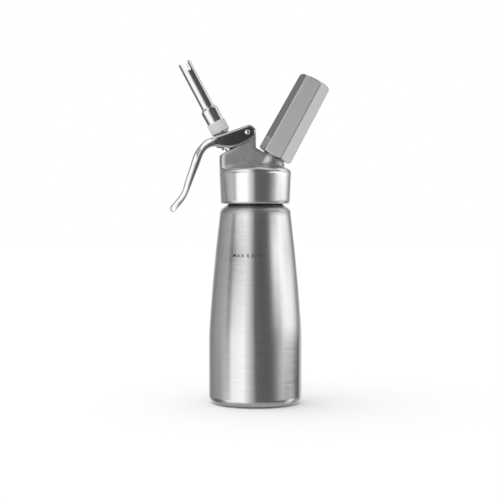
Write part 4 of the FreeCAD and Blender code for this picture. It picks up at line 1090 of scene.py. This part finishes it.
neck_ring = run_group("threaded_neck", outline_object("ring_outline", ring_outline(), True),
                      threaded_lathe, {
                          "Segments": SEGMENTS, "Pitch": THREAD_PITCH * MM,
                          "Depth": THREAD_DEPTH * MM, "Crest Radius": THREAD_CREST_R * MM,
                          "Foot": (THREAD_FOOT_Z + THREAD_FOOT_GAP) * MM,
                          "Top": (MOUTH_Z - MOUTH_EDGE - THREAD_TOP_GAP) * MM,
                          "Material": ring_steel})
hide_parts("neck_ring")
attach(neck_ring, "bottle_body")
print("faces in the neck ring:", len(neck_ring.data.polygons))

# %% [markdown]
# ## The fill mark
# A short level line on the front shows how far the bottle may be filled, with the measure
# beside it. It is printed ink. A text object gives the letters their outline, which is turned into
# a mesh, and each of its points is then laid on the bottle by a ray from the front.

# %% Fill mark
MARK_Z = 124.6 * MM
MARK_TEXT = "MAX 0.5L"
MARK_SIZE = 3.9 * MM
MARK_BOLD = 0.08 * MM
MARK_SPACING = 1.25
MARK_X = -8.9 * MM
DASH_ENDS = (1.2 * MM, 5.6 * MM)
DASH_THICK = 0.5 * MM
INK_LIFT = 0.03 * MM
DASH_STEPS = 12


def text_outline(text, size):
    """Flat mesh of a short text, centred, in the XZ plane."""
    curve = bpy.data.curves.new("fill_number", "FONT")
    curve.body = text
    curve.size = size
    curve.offset = MARK_BOLD
    curve.space_character = MARK_SPACING
    curve.align_x = "CENTER"
    curve.align_y = "CENTER"
    holder = bpy.data.objects.new("fill_number", curve)
    mesh = bpy.data.meshes.new_from_object(holder)
    bpy.data.objects.remove(holder)
    work = bmesh.new()
    work.from_mesh(mesh)
    bpy.data.meshes.remove(mesh)
    work.transform(Matrix.Rotation(math.pi / 2, 4, "X"))
    return work


def dash(work, left, right):
    """Adds a thin level bar, in short steps so that it can bend round the bottle."""
    low, high = -DASH_THICK / 2, DASH_THICK / 2
    previous = None
    for step in range(DASH_STEPS + 1):
        x = left + (right - left) * step / DASH_STEPS
        pair = [work.verts.new((x, 0, low)), work.verts.new((x, 0, high))]
        if previous:
            work.faces.new((previous[0], pair[0], pair[1], previous[1]))
        previous = pair


def make_fill_mark():
    """Letters and a dash laid on the bottle's front."""
    work = text_outline(MARK_TEXT, MARK_SIZE)
    bmesh.ops.translate(work, verts=work.verts[:], vec=(MARK_X, 0, 0))
    dash(work, *DASH_ENDS)
    bmesh.ops.triangulate(work, faces=work.faces[:])
    wall = BVHTree.FromObject(bottle, bpy.context.evaluated_depsgraph_get())
    for vertex in work.verts:
        start = Vector((vertex.co.x, cad_box[0].y - MM, MARK_Z + vertex.co.z))
        hit = wall.ray_cast(start, Vector((0, 1, 0)))[0]
        vertex.co = hit - Vector((0, INK_LIFT, 0))
    mesh = bpy.data.meshes.new("fill_mark")
    work.to_mesh(mesh)
    work.free()
    mesh.materials.append(mark_ink)
    return in_scene("fill_mark", mesh)


fill_mark = make_fill_mark()
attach(fill_mark, "bottle_body")
print("points in the fill mark:", len(fill_mark.data.vertices))
